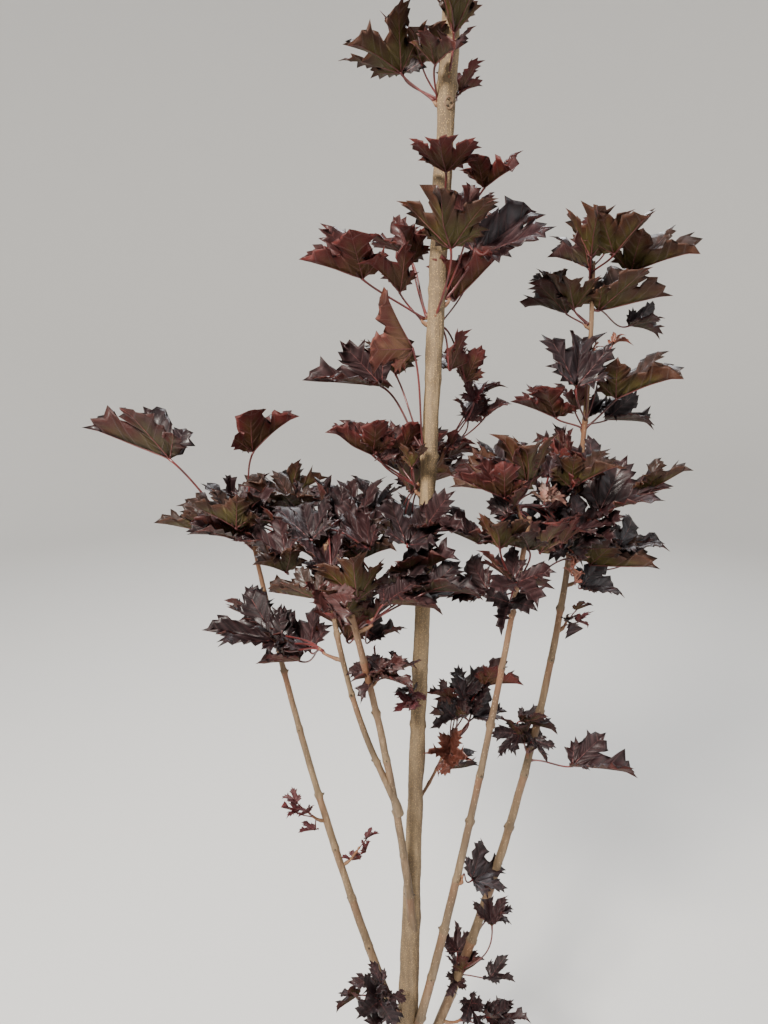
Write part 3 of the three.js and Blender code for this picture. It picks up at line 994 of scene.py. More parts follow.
# How the blades are held. In degrees, fold lifts both halves off the middle vein, curl bends them on from
# there and droop bends the blade down along its length. In blade lengths, pleat and wave are how far its rows
# and its margin stand off. Furrow raises a lobe's two sides off its vein, tilt is how unevenly the lobes
# slope, hook bends their tips back, and cut is the depth of the notches between them.
habits = {
    "grown": {
        "fold": 52, "curl": 4, "droop": 8, "furrow": 0.38, "pleat": 0.026,
        "wave": 0.042, "tilt": 0.15, "hook": 1.6, "cut": 1.0,
    },
    "open": {
        "fold": 34, "curl": -2, "droop": 16, "furrow": 0.36, "pleat": 0.024,
        "wave": 0.045, "tilt": 0.19, "hook": 1.6, "cut": 1.0,
    },
    "upright": {
        "fold": 34, "curl": 4, "droop": 3, "furrow": 0.34, "pleat": 0.024,
        "wave": 0.035, "tilt": 0.10, "hook": 1.2, "cut": 1.0,
    },
    "cupped": {
        "fold": 48, "curl": 3, "droop": 5, "furrow": 0.36, "pleat": 0.026,
        "wave": 0.040, "tilt": 0.09, "hook": 0.8, "cut": 1.0,
    },
    "young": {
        "fold": 38, "curl": 14, "droop": 12, "furrow": 0.45, "pleat": 0.030,
        "wave": 0.04, "tilt": 0.35, "hook": 1.8, "cut": 0.78,
    },
    "shrunk": {
        "fold": 55, "curl": 40, "droop": 40, "furrow": 0.8, "pleat": 0.040,
        "wave": 0.12, "tilt": 0.9, "hook": 4.0, "cut": 0.5,
    },
}
bladeShape = {
    "thickness": 0.0035,  # share of the length
    "furrowWidth": 4,
    "smoothMargin": 0.4,  # share of the pleats that is lost there
    "waves": (3, 5, 8),  # round the blade
    "waveShare": 1.7,
    "tiltFrom": 0.42,
    "tiltBend": 1.3,
    "hookFrom": 0.8,
    "folds": (0.6, 1.35),  # shares of the habit's own, at random
    "curls": (0.4, 1.4),
    "droops": (-0.3, 1.7),
    "cuts": (0.92, 1.06),
    "least": 1e-4,  # keeps a flat blade's radius of bend in bounds
    "drift": 9,  # of the cloudy tints, from blade to blade
}
ribShape = {"foot": 0.0105, "tip": 0.002, "above": 0.5, "below": 1.5}  # width in lengths, height in widths


def shapeBlade(flat, habit, rng):
    x, y = flat[:, 0], flat[:, 1]
    across, ridge, free = blade["details"][:, 1], blade["details"][:, 2], blade["details"][:, 3]
    number = blade["details"][:, 4].astype(int)
    turns = np.radians([lobe["turn"] for lobe in leafPlan["lobes"]])[number] * np.where(x < 0, -1, 1)
    fromVein = np.abs(x * np.cos(turns) - y * np.sin(turns))
    alongLobe = x * np.sin(turns) + y * np.cos(turns)
    around = np.arctan2(x, y)
    lift = habit["furrow"] * fromVein / (1 + bladeShape["furrowWidth"] * fromVein)
    pleats = (2 * ridge - 1) * np.sin(np.pi * across * (1 - bladeShape["smoothMargin"] * free))
    lift = lift + habit["pleat"] * pleats
    waving = sum(np.sin(n * around + anyPhase(rng)) for n in bladeShape["waves"]) / bladeShape["waveShare"]
    lift = lift + habit["wave"] * free * across**2 * waving
    tilts = np.array([[rng.gauss(0, habit["tilt"]) for _ in leafPlan["lobes"]] for _ in (0, 1)])
    tilt = tilts[(x < 0).astype(int) * (number > 0), number]
    lift = lift + tilt * np.clip(alongLobe - bladeShape["tiltFrom"], 0, None) ** bladeShape["tiltBend"]
    ends = alongLobe / np.array([lobe["length"] for lobe in leafPlan["lobes"]])[number]
    lift = lift - habit["hook"] * np.clip(ends - bladeShape["hookFrom"], 0, None) ** 2
    folds = [math.radians(habit["fold"] * rng.uniform(*bladeShape["folds"])) for _ in (0, 1)]
    fold = np.where(x < 0, folds[0], folds[1])
    curl = math.radians(habit["curl"] * rng.uniform(*bladeShape["curls"])) + bladeShape["least"]
    angle = fold + curl * np.abs(x)
    level = (np.sin(angle) - np.sin(fold)) / curl - lift * np.sin(angle)
    rise = (np.cos(fold) - np.cos(angle)) / curl + lift * np.cos(angle)
    droop = math.radians(habit["droop"] * rng.uniform(*bladeShape["droops"])) + bladeShape["least"]
    bend = droop * y
    forward = np.sin(bend) / droop + rise * np.sin(bend)
    height = rise * np.cos(bend) - (1 - np.cos(bend)) / droop
    return np.stack((np.where(x < 0, -level, level), forward, height), axis=1)


def pointNormals(points, faces):
    normals = np.zeros_like(points)
    one, two, three = (points[faces[:, corner]] for corner in range(3))
    crossed = np.cross(two - one, three - one)
    for corner in range(3):
        np.add.at(normals, faces[:, corner], crossed)
    return normals / np.maximum(np.linalg.norm(normals, axis=1), 1e-12)[:, None]


def addRib(part, path, facing, size, slot):
    # a thin raised strip along a vein, on both sides of the blade
    sideways = np.cross(np.gradient(path, axis=0), facing)
    sideways /= np.maximum(np.linalg.norm(sideways, axis=1), 1e-9)[:, None]
    width = size * np.linspace(ribShape["foot"], ribShape["tip"], len(path))[:, None]
    above, below = ribShape["above"] * width * facing, ribShape["below"] * width * facing
    rings = (path + width * sideways, path + above, path - width * sideways, path - below)
    points = np.stack(rings, axis=1).reshape(-1, 3)
    last = 4 * (len(path) - 1)
    ends = [(3, 2, 1, 0), (last, last + 1, last + 2, last + 3)]
    addShape(part, points, ringFaces(len(path), 4) + ends, slot)


def addLeaf(part, base, direction, normal, size, habitName, tint, rng):
    # a thin closed blade whose two sides meet in its rim, and its ribs
    habit = habits[habitName]
    flat = bladePoints(rng, habit["cut"] * rng.uniform(*bladeShape["cuts"]), 1.0)[blade["first"]]
    local = shapeBlade(flat, habit, rng)
    forward = unit(direction)
    upward = unit(normal - np.dot(normal, forward) * forward)
    axes = np.stack((np.cross(forward, upward), forward, upward))
    points = base + size * local @ axes
    normals = pointNormals(points, blade["faces"])
    half = 0.5 * bladeShape["thickness"] * size * normals
    half[blade["rim"]] = 0
    count = len(points)
    under = np.arange(count, 2 * count)
    under[blade["rim"]] = blade["rim"]
    tintNumber = list(leafTints).index(tint)
    slots = [2 * tintNumber] * len(blade["faces"]) + [2 * tintNumber + 1] * len(blade["faces"])
    veins = blade["details"][:, :2]
    drift = np.array([rng.uniform(0, bladeShape["drift"]) for _ in (0, 1)])
    both = np.concatenate((points + half, points - half))
    kept = np.ones(2 * count, bool)
    kept[count + np.array(blade["rim"])] = False
    renumber = np.cumsum(kept) - 1
    faces = renumber[np.concatenate((blade["faces"], under[blade["faces"][:, ::-1]]))].tolist()
    veinMap, flatMap = (np.concatenate((spread, spread))[kept] for spread in (veins, flat + drift))
    addShape(part, both[kept], faces, slots, veinMap, flatMap)
    ribSlot = 2 * len(leafTints) + (tint in ("pale", "ember"))
    for rib in blade["ribs"]:
        addRib(part, points[rib], normals[rib], size, ribSlot)


# Twigs and leaf stalks


def curvedPath(start, leave, arrive, end, count):
    # a smooth run between two points that leaves and arrives as told
    t = np.linspace(0, 1, count)[:, None]
    return (
        (1 - t) ** 3 * start + 3 * t * (1 - t) ** 2 * (start + leave)
        + 3 * t**2 * (1 - t) * (end - arrive) + t**3 * end
    )


stalkSettings = {
    "width": 0.0015,  # half the thickness
    "blade": 0.1,  # under a blade of this length
    "widths": (0.6, 0.4),  # the share of it that is always there, and the one that grows with the blade
    "sides": 8,
    "rings": 16,
    "leave": 0.35,
    "arrive": 0.3,
    "foot": (0.9, 16),  # how much it swells at each end, and how soon that fades
    "tip": (0.35, 20),
}
twigSettings = {
    "foot": 0.0031,
    "tip": 0.0019,
    "sides": 10,
    "leastRings": 6,
    "ringGap": 0.004,
    "nodeGap": 0.026,
    "firstNode": 0.4,  # of a gap
    "nodeRise": 0.0008,
    "nodeTall": 0.003,
    "relief": 0.00012,
    "ripples": {"count": 5, "turns": (2, 5), "waves": (0.01, 0.05)},
    "endNarrow": 0.45,
    "flush": (0.35, 1.0),
    "endFlush": (0.5, 1.0),
}
budSettings = {
    "rings": 7,
    "sides": 8,
    "width": 0.34,  # half of it, in lengths
    "profile": (0.12, 0.85),  # where the half wave of its outline starts, and how much of it is used
    "fullness": 0.8,
    "flush": 0.9,
}
scarSettings = {
    "height": 1.852,
    "turn": -78,  # degrees round the trunk
    "sunk": 0.98,
    "wide": 0.0052,
    "taller": 1.35,
    "edge": 0.0012,  # how far its two sides and its holes are set back
    "thick": 0.0019,
    "points": 15,
    "sides": 8,
    "flush": 0.2,
    "holes": (  # across, up and long
        (-0.0024, -0.0030, 0.0050),
        (0.0022, 0.0005, 0.0042),
        (-0.0010, 0.0042, 0.0036),
    ),
}


def addStalk(part, start, leave, end, arrive, size):
    length = np.linalg.norm(end - start)
    leaving = stalkSettings["leave"] * length * unit(leave)
    arriving = stalkSettings["arrive"] * length * unit(arrive)
    path = curvedPath(start, leaving, arriving, end, stalkSettings["rings"])
    share = np.linspace(0, 1, stalkSettings["rings"])
    (footSwell, footFade), (tipSwell, tipFade) = stalkSettings["foot"], stalkSettings["tip"]
    swell = 1 + footSwell * np.exp(-share * footFade) + tipSwell * np.exp(-(1 - share) * tipFade)
    least, grown = stalkSettings["widths"]
    width = stalkSettings["width"] * (least + grown * size / stalkSettings["blade"])
    points, faces = tube(path, width * swell, stalkSettings["sides"])
    addShape(part, points, faces)


def addTwig(part, path, foot, rng):
    gaps = np.linalg.norm(np.diff(path, axis=0), axis=1)
    travelled = np.concatenate(((0.0,), np.cumsum(gaps)))
    count = max(twigSettings["leastRings"], int(travelled[-1] / twigSettings["ringGap"]))
    even = np.linspace(0, travelled[-1], count)
    line = np.stack([np.interp(even, travelled, path[:, axis]) for axis in range(3)], axis=1)
    radii = np.linspace(foot, twigSettings["tip"], count)
    first = twigSettings["firstNode"] * twigSettings["nodeGap"]
    for node in np.arange(first, travelled[-1], twigSettings["nodeGap"]):
        offset = (even - node) / twigSettings["nodeTall"]
        radii = radii + twigSettings["nodeRise"] * np.exp(-(offset**2))
    sides = twigSettings["sides"]
    angle = 2 * np.pi * np.arange(sides)[None, :] / sides
    relief = twigSettings["relief"] * ripples(angle, even[:, None], rng, **twigSettings["ripples"])
    surface = radii[:, None] + relief
    surface[-1] *= twigSettings["endNarrow"]
    points, faces = tube(line, surface, sides)
    flush = np.repeat(np.linspace(*twigSettings["flush"], count), sides)
    addShape(part, points, faces, flush=np.concatenate((flush, twigSettings["endFlush"])))


def addBud(part, place, way, size, slot=0):
    share = np.linspace(0, 1, budSettings["rings"])
    path = place + share[:, None] * size * unit(way)
    start, used = budSettings["profile"]
    radii = budSettings["width"] * size * np.sin(np.pi * (start + used * share)) ** budSettings["fullness"]
    points, faces = tube(path, radii, budSettings["sides"])
    addShape(part, points, faces, slot, flush=np.full(len(points), budSettings["flush"]))


def addScar(part):
    # where a side shoot was cut off: a raised collar of bark round a few dark holes
    scar, limb = scarSettings, limbs["trunk"]
    turn = math.radians(scar["turn"])
    way = np.array((math.cos(turn), math.sin(turn), 0.0))
    side = np.cross(up, way)
    out = scar["sunk"] * radiusOn(limb, scar["height"]) * way * (1 + barkSettings["upperTrunk"]["wider"])
    middle = placeOn(limb, scar["height"]) + out
    spin = np.linspace(0, 2 * np.pi, scar["points"])[:, None]
    ring = middle + scar["wide"] * (np.cos(spin) * side + scar["taller"] * np.sin(spin) * up)
    ring = ring - scar["edge"] * np.cos(spin) ** 2 * way
    points, faces = tube(ring, np.full(len(ring), scar["thick"]), scar["sides"])
    addShape(part, points, faces, flush=np.full(len(points), scar["flush"]))
    for across, rise, size in scar["holes"]:
        addBud(part, middle + across * side + rise * up - scar["edge"] * way, way, size, slot=1)


# Sprays of leaves. Each takes the place of one mass of foliage. It grows from its limb at the height told, on
# a twig that goes the share "wood" of the way to the mass's middle. "leaves" is how many leaves the rule
# deals out, and the rest is their length, how steeply they rise in degrees, their tints and their habit.

usualSpray = {"leaves": 0, "size": 0.085, "rise": 20, "tints": "night plum", "habit": "grown", "wood": 0}
sprays = {
    "left_tip": dict(limb="bough_left", at=1.228),
    "left_upright": dict(limb="bough_left", at=1.256),
    "left_crown": dict(limb="bough_left", at=1.250, leaves=8, size=0.1, rise=34,
                       tints="night plum plum bronze", wood=0.6),
    "left_low": dict(limb="bough_front_fork", at=1.112, leaves=1, size=0.09, rise=12,
                     tints="night night plum", habit="open", wood=0.25),
    "left_sprig": dict(limb="bough_left", at=0.742, leaves=4, size=0.036, rise=30,
                       tints="fresh", habit="young", wood=0.6),
    "inner_sprig": dict(limb="bough_left", at=0.655, leaves=3, size=0.036, rise=30,
                        tints="fresh plum", habit="young", wood=0.6),
    "front_centre": dict(limb="bough_front_fork", at=1.278, wood=0.5),
    "front_under": dict(limb="bough_front", at=1.190, wood=0.5),
    "front_low": dict(limb="bough_front", at=1.180, leaves=3, habit="open", wood=0.2),
    "front_tuft": dict(limb="bough_front", at=1.085, leaves=5, size=0.062, rise=10,
                       tints="plum wine", habit="young", wood=0.3),
    "front_crown": dict(limb="trunk", at=1.255, wood=0.3),
    "front_bud": dict(limb="trunk", at=1.000, leaves=4, size=0.046, rise=15,
                      tints="plum fresh", habit="young", wood=0.4),
    "back_crown": dict(limb="bough_back", at=1.284, leaves=16, size=0.1, rise=34,
                       tints="night plum bronze wine", wood=0.6),
    "low_left": dict(limb="trunk", at=1.335, leaves=1, size=0.092, rise=28, tints="wine", wood=0.15),
    "low_right": dict(limb="trunk", at=1.372, leaves=7, size=0.06, rise=25,
                      tints="fresh wine plum", habit="young", wood=0.3),
    "pale_leaf": dict(limb="trunk", at=1.390),
    "mid_left": dict(limb="trunk", at=1.402),
    "right_back": dict(limb="trunk", at=1.573, leaves=2, size=0.088, rise=40, tints="wine plum", wood=0.1),
    "collar_left": dict(limb="trunk", at=1.576, wood=0.1),
    "collar_front": dict(limb="trunk", at=1.590),
    "collar_right": dict(limb="trunk", at=1.600, wood=0.1),
    "upper_right": dict(limb="trunk", at=1.700),
    "upper_front": dict(limb="trunk", at=1.712),
    "upper_left": dict(limb="trunk", at=1.848, wood=0.08),
    "upper_back": dict(limb="trunk", at=1.850, leaves=2, size=0.066, rise=30, tints="plum wine", wood=0.08),
    "leader_front": dict(limb="trunk", at=1.880),
    "tall_top": dict(limb="bough_tall", at=1.622, wood=0.35),
    "tall_tip": dict(limb="bough_tall", at=1.612, wood=0.12),
    "tall_left": dict(limb="bough_tall", at=1.572, wood=0.05),
    "tall_mid": dict(limb="bough_tall", at=1.598),
    "tall_lower": dict(limb="bough_tall", at=1.436),
    "tall_olive": dict(limb="bough_tall", at=1.424),
    "tall_base": dict(limb="bough_tall", at=1.415, wood=0.1),
    "right_crown": dict(limb="bough_right", at=1.312, leaves=4, size=0.09, rise=36,
                        tints="bronze plum night", wood=0.5),
    "right_mid": dict(limb="bough_tall", at=1.320, leaves=6, size=0.09, rise=30,
                      tints="night plum wine", wood=0.2),
    "right_tip": dict(limb="bough_tall", at=1.275, leaves=2, size=0.095,
                      tints="night plum bronze", wood=0.3),
    "right_low": dict(limb="bough_right", at=1.215, leaves=2, rise=12, habit="open", wood=0.2),
    "right_low_mid": dict(limb="bough_tall", at=1.205, leaves=5, rise=18,
                          tints="wine plum night", habit="open", wood=0.3),
    "right_low_tip": dict(limb="bough_tall", at=1.165, leaves=1, rise=8,
                          tints="bronze plum", habit="open", wood=0.3),
    "right_bud": dict(limb="bough_tall", at=1.085, leaves=1, size=0.03,
                      tints="plum fresh", habit="young", wood=0.4),
    "between": dict(limb="trunk", at=0.815, leaves=2, size=0.07,
                    tints="wine night rust", habit="open", wood=0.7),
    "spur_right": dict(limb="bough_tall", at=0.856, leaves=5, size=0.066, rise=15,
                       tints="night fresh plum", habit="young", wood=0.3),
    "spur_tip": dict(limb="bough_tall", at=0.850),
    "low_spur": dict(limb="bough_right", at=0.690, wood=0.2),
    "foot_left": dict(limb="trunk", at=0.385, leaves=6, size=0.066, rise=30, habit="young", wood=0.4),
    "foot_back": dict(limb="bough_tall", at=0.400, leaves=6, size=0.06, rise=25,
                      tints="plum night", habit="young", wood=0.4),
    "foot_right": dict(limb="bough_tall", at=0.330, leaves=4, size=0.062, habit="young", wood=0.4),
}
leaderPairs = {"count": 5, "first": 2.040, "gap": 0.124, "size": 0.094, "smaller": 0.005}  # above the picture
for number in range(leaderPairs["count"]):
    height = leaderPairs["first"] + leaderPairs["gap"] * number
    size = leaderPairs["size"] - leaderPairs["smaller"] * number
    sprays[f"leader_pair_{number + 1}"] = dict(
        limb="trunk", at=height, leaves=6, size=size, rise=34, tints="plum wine bronze",
    )
sprays["leader_tip"] = dict(
    limb="trunk", at=2.660, leaves=7, size=0.070, rise=45, tints="fresh wine", wood=0.6,
)

# The leaves that give the tree its outline, each read from the picture: the pixel of the blade's foot
# and of its middle lobe's tip, how far behind the trunk's middle the foot is, how long the blade is, whether
# it points away from the camera, and by how many degrees its upper side leans towards the camera
seenLeaves = {
    "upper_left": (
        dict(foot=(401, 73), tip=(347, 31), depth=0.00, length=0.100, tint="bronze", lean=-32,
             habit="upright"),
        dict(foot=(422, 64), tip=(410, 27), depth=0.02, length=0.075, tint="bronze", habit="cupped"),
        dict(foot=(435, 65), tip=(462, 36), depth=-0.03, length=0.080, tint="plum", habit="cupped"),
        dict(foot=(403, 74), tip=(392, 14), depth=0.03, length=0.090, tint="night", lean=20, away=True),
    ),
    "leader_front": (
        dict(foot=(454, 33), tip=(448, -36), depth=-0.02, length=0.110, tint="bronze"),
    ),
    "upper_front": (
        dict(foot=(446, 172), tip=(437, 136), depth=-0.04, length=0.085, tint="wine", habit="upright"),
    ),
    "upper_right": (
        dict(foot=(484, 188), tip=(517, 163), depth=0.01, length=0.085, tint="wine"),
    ),
    "collar_front": (
        dict(foot=(451, 249), tip=(432, 190), depth=-0.05, length=0.108, tint="bronze", lean=-5,
             habit="upright"),
    ),
    "collar_right": (
        dict(foot=(476, 255), tip=(541, 203), depth=0.00, length=0.140, tint="plum", lean=36,
             away=True, habit="upright"),
        dict(foot=(455, 300), tip=(506, 250), depth=0.03, length=0.105, tint="wine"),
        dict(foot=(468, 222), tip=(470, 182), depth=-0.02, length=0.070, tint="wine", lean=10,
             away=True, habit="upright"),
    ),
    "collar_left": (
        dict(foot=(363, 279), tip=(291, 252), depth=-0.02, length=0.108, tint="wine", lean=5,
             habit="cupped"),
        dict(foot=(400, 293), tip=(366, 252), depth=0.00, length=0.090, tint="wine"),
        dict(foot=(407, 254), tip=(366, 240), depth=0.05, length=0.085, tint="wine", lean=25, away=True),
        dict(foot=(412, 262), tip=(402, 222), depth=0.05, length=0.070, tint="wine"),
    ),
    "pale_leaf": (
        dict(foot=(413, 349), tip=(378, 287), depth=-0.03, length=0.108, tint="rust",
             normal=(-0.88, 0.43, -0.2), habit="upright"),
    ),
    "mid_left": (
        dict(foot=(396, 375), tip=(361, 340), depth=0.06, length=0.090, tint="bronze"),
        dict(foot=(382, 386), tip=(298, 378), depth=0.03, length=0.120, tint="plum", lean=48,
             away=True, habit="cupped"),
    ),
    "right_back": (
        dict(foot=(465, 382), tip=(448, 340), depth=0.07, length=0.075, tint="wine"),
    ),
    "tall_top": (
        dict(foot=(591, 257), tip=(597, 202), depth=0.06, length=0.104, tint="bronze", lean=-8,
             habit="upright"),
        dict(foot=(606, 250), tip=(628, 214), depth=0.11, length=0.085, tint="wine", lean=5,
             away=True, habit="upright"),
        dict(foot=(589, 269), tip=(547, 248), depth=0.07, length=0.085, tint="night", lean=-5),
        dict(foot=(614, 254), tip=(650, 212), depth=0.05, length=0.100, tint="bronze", lean=-10,
             habit="upright"),
    ),
    "tall_tip": (
        dict(foot=(631, 272), tip=(700, 244), depth=0.09, length=0.112, tint="bronze", lean=0,
             habit="cupped"),
    ),
    "tall_left": (
        dict(foot=(574, 309), tip=(567, 273), depth=0.08, length=0.085, tint="bronze", lean=-5,
             habit="upright"),
        dict(foot=(567, 314), tip=(523, 298), depth=0.10, length=0.085, tint="night", lean=35, away=True),
        dict(foot=(556, 292), tip=(534, 276), depth=0.14, length=0.060, tint="bronze"),
    ),
    "tall_mid": (
        dict(foot=(598, 311), tip=(675, 293), depth=0.09, length=0.114, tint="bronze", habit="cupped"),
        dict(foot=(628, 326), tip=(663, 329), depth=0.16, length=0.070, tint="night", lean=30, away=True),
    ),
    "tall_lower": (
        dict(foot=(576, 387), tip=(583, 330), depth=0.03, length=0.112, tint="night", lean=30, away=True),
        dict(foot=(612, 346), tip=(627, 335), depth=0.08, length=0.028, tint="ember", lean=10,
             away=True, habit="shrunk"),
        dict(foot=(592, 352), tip=(598, 340), depth=0.08, length=0.022, tint="ember", lean=10,
             away=True, habit="shrunk"),
    ),
    "tall_olive": (
        dict(foot=(616, 399), tip=(684, 367), depth=0.08, length=0.118, tint="bronze", lean=-12,
             habit="cupped"),
    ),
    "tall_base": (
        dict(foot=(556, 418), tip=(505, 394), depth=0.10, length=0.095, tint="wine", lean=8,
             habit="cupped"),
        dict(foot=(575, 411), tip=(564, 389), depth=0.12, length=0.070, tint="wine"),
        dict(foot=(588, 417), tip=(612, 400), depth=0.14, length=0.075, tint="night", lean=35, away=True),
        dict(foot=(606, 420), tip=(655, 419), depth=0.14, length=0.082, tint="night", lean=25, away=True),
    ),
    "left_tip": (
        dict(foot=(170, 459), tip=(84, 424), depth=0.04, length=0.132, tint="night", lean=-20,
             habit="cupped"),
    ),
    "left_upright": (
        dict(foot=(253, 452), tip=(299, 400), depth=0.09, length=0.108, tint="wine",
             habit="open", lean=-16),
    ),
    "low_left": (
        dict(foot=(373, 455), tip=(325, 434), depth=-0.01, length=0.092, tint="wine", lean=5),
        dict(foot=(398, 460), tip=(374, 425), depth=0.02, length=0.085, tint="wine"),
        dict(foot=(412, 468), tip=(423, 450), depth=-0.03, length=0.055, tint="bronze", habit="cupped"),
        dict(foot=(412, 466), tip=(398, 431), depth=0.03, length=0.070, tint="plum", lean=20, away=True),
    ),
    "left_crown": (
        dict(foot=(236, 528), tip=(185, 496), depth=0.00, length=0.095, tint="bronze", lean=8),
        dict(foot=(252, 541), tip=(171, 526), depth=0.04, length=0.120, tint="night", lean=30, away=True),
        dict(foot=(286, 557), tip=(245, 532), depth=-0.02, length=0.095, tint="plum", lean=30, away=True),
        dict(foot=(296, 508), tip=(241, 485), depth=0.08, length=0.098, tint="bronze", lean=10),
        dict(foot=(286, 572), tip=(252, 556), depth=-0.05, length=0.080, tint="bronze", lean=5),
        dict(foot=(326, 563), tip=(293, 545), depth=-0.05, length=0.075, tint="bronze", lean=5),
        dict(foot=(300, 520), tip=(293, 473), depth=0.09, length=0.080, tint="night", lean=15, away=True),
        dict(foot=(280, 540), tip=(267, 508), depth=0.03, length=0.075, tint="plum", lean=20, away=True),
        dict(foot=(318, 540), tip=(303, 505), depth=0.02, length=0.080, tint="night", lean=25, away=True),
        dict(foot=(256, 520), tip=(236, 490), depth=0.08, length=0.075, tint="plum", lean=20, away=True),
    ),
    "front_centre": (
        dict(foot=(357, 600), tip=(352, 554), depth=-0.12, length=0.095, tint="bronze", lean=-5,
             habit="upright"),
        dict(foot=(347, 545), tip=(402, 506), depth=0.00, length=0.112, tint="plum", lean=30, away=True),
        dict(foot=(391, 590), tip=(425, 560), depth=-0.05, length=0.100, tint="night", lean=20,
             habit="open"),
        dict(foot=(334, 530), tip=(319, 478), depth=0.05, length=0.105, tint="night", lean=20, away=True),
        dict(foot=(351, 527), tip=(353, 474), depth=0.07, length=0.110, tint="plum", lean=15, away=True),
        dict(foot=(374, 510), tip=(384, 478), depth=0.10, length=0.085, tint="night", lean=30,
             away=True, habit="open"),
        dict(foot=(335, 555), tip=(362, 520), depth=0.00, length=0.085, tint="wine", lean=25, away=True),
        dict(foot=(360, 560), tip=(396, 541), depth=-0.04, length=0.080, tint="bronze", lean=5),
        dict(foot=(311, 540), tip=(300, 496), depth=-0.08, length=0.090, tint="night", lean=25, away=True),
        dict(foot=(370, 548), tip=(340, 512), depth=-0.07, length=0.090, tint="plum", lean=28, away=True),
        dict(foot=(330, 570), tip=(316, 538), depth=-0.12, length=0.080, tint="plum", lean=22, away=True),
        dict(foot=(338, 592), tip=(316, 562), depth=-0.04, length=0.080, tint="plum", lean=8),
    ),
    "front_crown": (
        dict(foot=(407, 545), tip=(437, 503), depth=-0.07, length=0.100, tint="night", lean=30,
             away=True, habit="open"),
        dict(foot=(427, 525), tip=(472, 528), depth=-0.04, length=0.085, tint="plum", lean=25),
        dict(foot=(412, 575), tip=(455, 548), depth=-0.05, length=0.100, tint="plum", lean=15,
             habit="open"),
        dict(foot=(420, 600), tip=(470, 580), depth=-0.04, length=0.095, tint="night", lean=25,
             away=True, habit="open"),
    ),
    "left_low": (
        dict(foot=(277, 640), tip=(194, 630), depth=0.00, length=0.126, tint="night", lean=32, away=True),
        dict(foot=(310, 651), tip=(281, 614), depth=-0.01, length=0.108, tint="plum", lean=25, away=True),
        dict(foot=(300, 661), tip=(253, 663), depth=0.02, length=0.085, tint="wine", lean=20, away=True),
        dict(foot=(262, 625), tip=(228, 606), depth=0.03, length=0.088, tint="night", lean=30, away=True),
    ),
    "front_under": (
        dict(foot=(317, 599), tip=(267, 591), depth=-0.10, length=0.080, tint="bronze", away=True),
        dict(foot=(320, 593), tip=(349, 628), depth=-0.12, length=0.075, tint="wine", lean=10,
             habit="open"),
        dict(foot=(345, 615), tip=(322, 585), depth=-0.10, length=0.075, tint="bronze"),
        dict(foot=(334, 592), tip=(324, 553), depth=-0.06, length=0.080, tint="night", lean=18, away=True),
    ),
    "front_low": (
        dict(foot=(352, 632), tip=(313, 612), depth=-0.06, length=0.085, tint="wine", lean=20, away=True),
        dict(foot=(360, 625), tip=(402, 600), depth=-0.06, length=0.085, tint="plum", lean=5),
        dict(foot=(347, 641), tip=(328, 606), depth=-0.06, length=0.080, tint="wine", lean=8),
        dict(foot=(370, 641), tip=(399, 624), depth=-0.05, length=0.072, tint="plum", lean=18, away=True),
    ),
    "right_crown": (
        dict(foot=(527, 490), tip=(531, 437), depth=-0.06, length=0.105, tint="bronze", lean=-5),
        dict(foot=(505, 498), tip=(444, 473), depth=-0.08, length=0.105, tint="wine", lean=2,
             habit="cupped"),
        dict(foot=(500, 470), tip=(491, 437), depth=0.00, length=0.080, tint="night", lean=20, away=True),
        dict(foot=(548, 478), tip=(553, 450), depth=0.02, length=0.070, tint="plum", lean=20, away=True),
        dict(foot=(478, 543), tip=(441, 526), depth=-0.05, length=0.080, tint="plum", lean=25,
             habit="open"),
        dict(foot=(540, 553), tip=(520, 518), depth=-0.05, length=0.080, tint="plum", lean=5),
        dict(foot=(522, 532), tip=(506, 500), depth=-0.02, length=0.080, tint="night", lean=22, away=True),
        dict(foot=(548, 540), tip=(568, 508), depth=0.00, length=0.080, tint="plum", lean=22, away=True),
        dict(foot=(544, 502), tip=(530, 487), depth=-0.05, length=0.030, tint="pale", lean=20,
             habit="shrunk"),
        dict(foot=(548, 500), tip=(549, 482), depth=-0.03, length=0.030, tint="pale", lean=20,
             away=True, habit="shrunk"),
        dict(foot=(550, 512), tip=(536, 478), depth=0.03, length=0.085, tint="wine", lean=15, away=True),
        dict(foot=(560, 506), tip=(577, 480), depth=0.04, length=0.080, tint="plum", lean=15, away=True),
        dict(foot=(552, 503), tip=(563, 492), depth=-0.03, length=0.026, tint="pale", lean=20,
             away=True, habit="shrunk"),
    ),
    "right_mid": (
        dict(foot=(571, 488), tip=(622, 459), depth=0.00, length=0.095, tint="bronze", habit="cupped"),
        dict(foot=(560, 520), tip=(540, 495), depth=0.02, length=0.075, tint="night", lean=25, away=True),
        dict(foot=(575, 530), tip=(606, 507), depth=0.00, length=0.080, tint="plum", lean=30,
             away=True, habit="open"),
        dict(foot=(560, 545), tip=(553, 515), depth=-0.03, length=0.080, tint="wine", lean=5),
    ),
    "right_tip": (
        dict(foot=(600, 511), tip=(680, 477), depth=0.04, length=0.128, tint="plum", lean=28,
             away=True, habit="cupped"),
        dict(foot=(618, 548), tip=(664, 540), depth=0.06, length=0.085, tint="night", lean=30,
             away=True, habit="open"),
    ),
    "right_low": (
        dict(foot=(516, 583), tip=(540, 606), depth=-0.11, length=0.085, tint="plum", lean=35,
             habit="open"),
        dict(foot=(509, 603), tip=(499, 632), depth=-0.10, length=0.082, tint="night", lean=30,
             habit="open"),
        dict(foot=(500, 549), tip=(497, 514), depth=-0.10, length=0.080, tint="bronze"),
        dict(foot=(513, 581), tip=(484, 562), depth=-0.09, length=0.080, tint="plum", lean=30, away=True),
    ),
    "right_low_mid": (
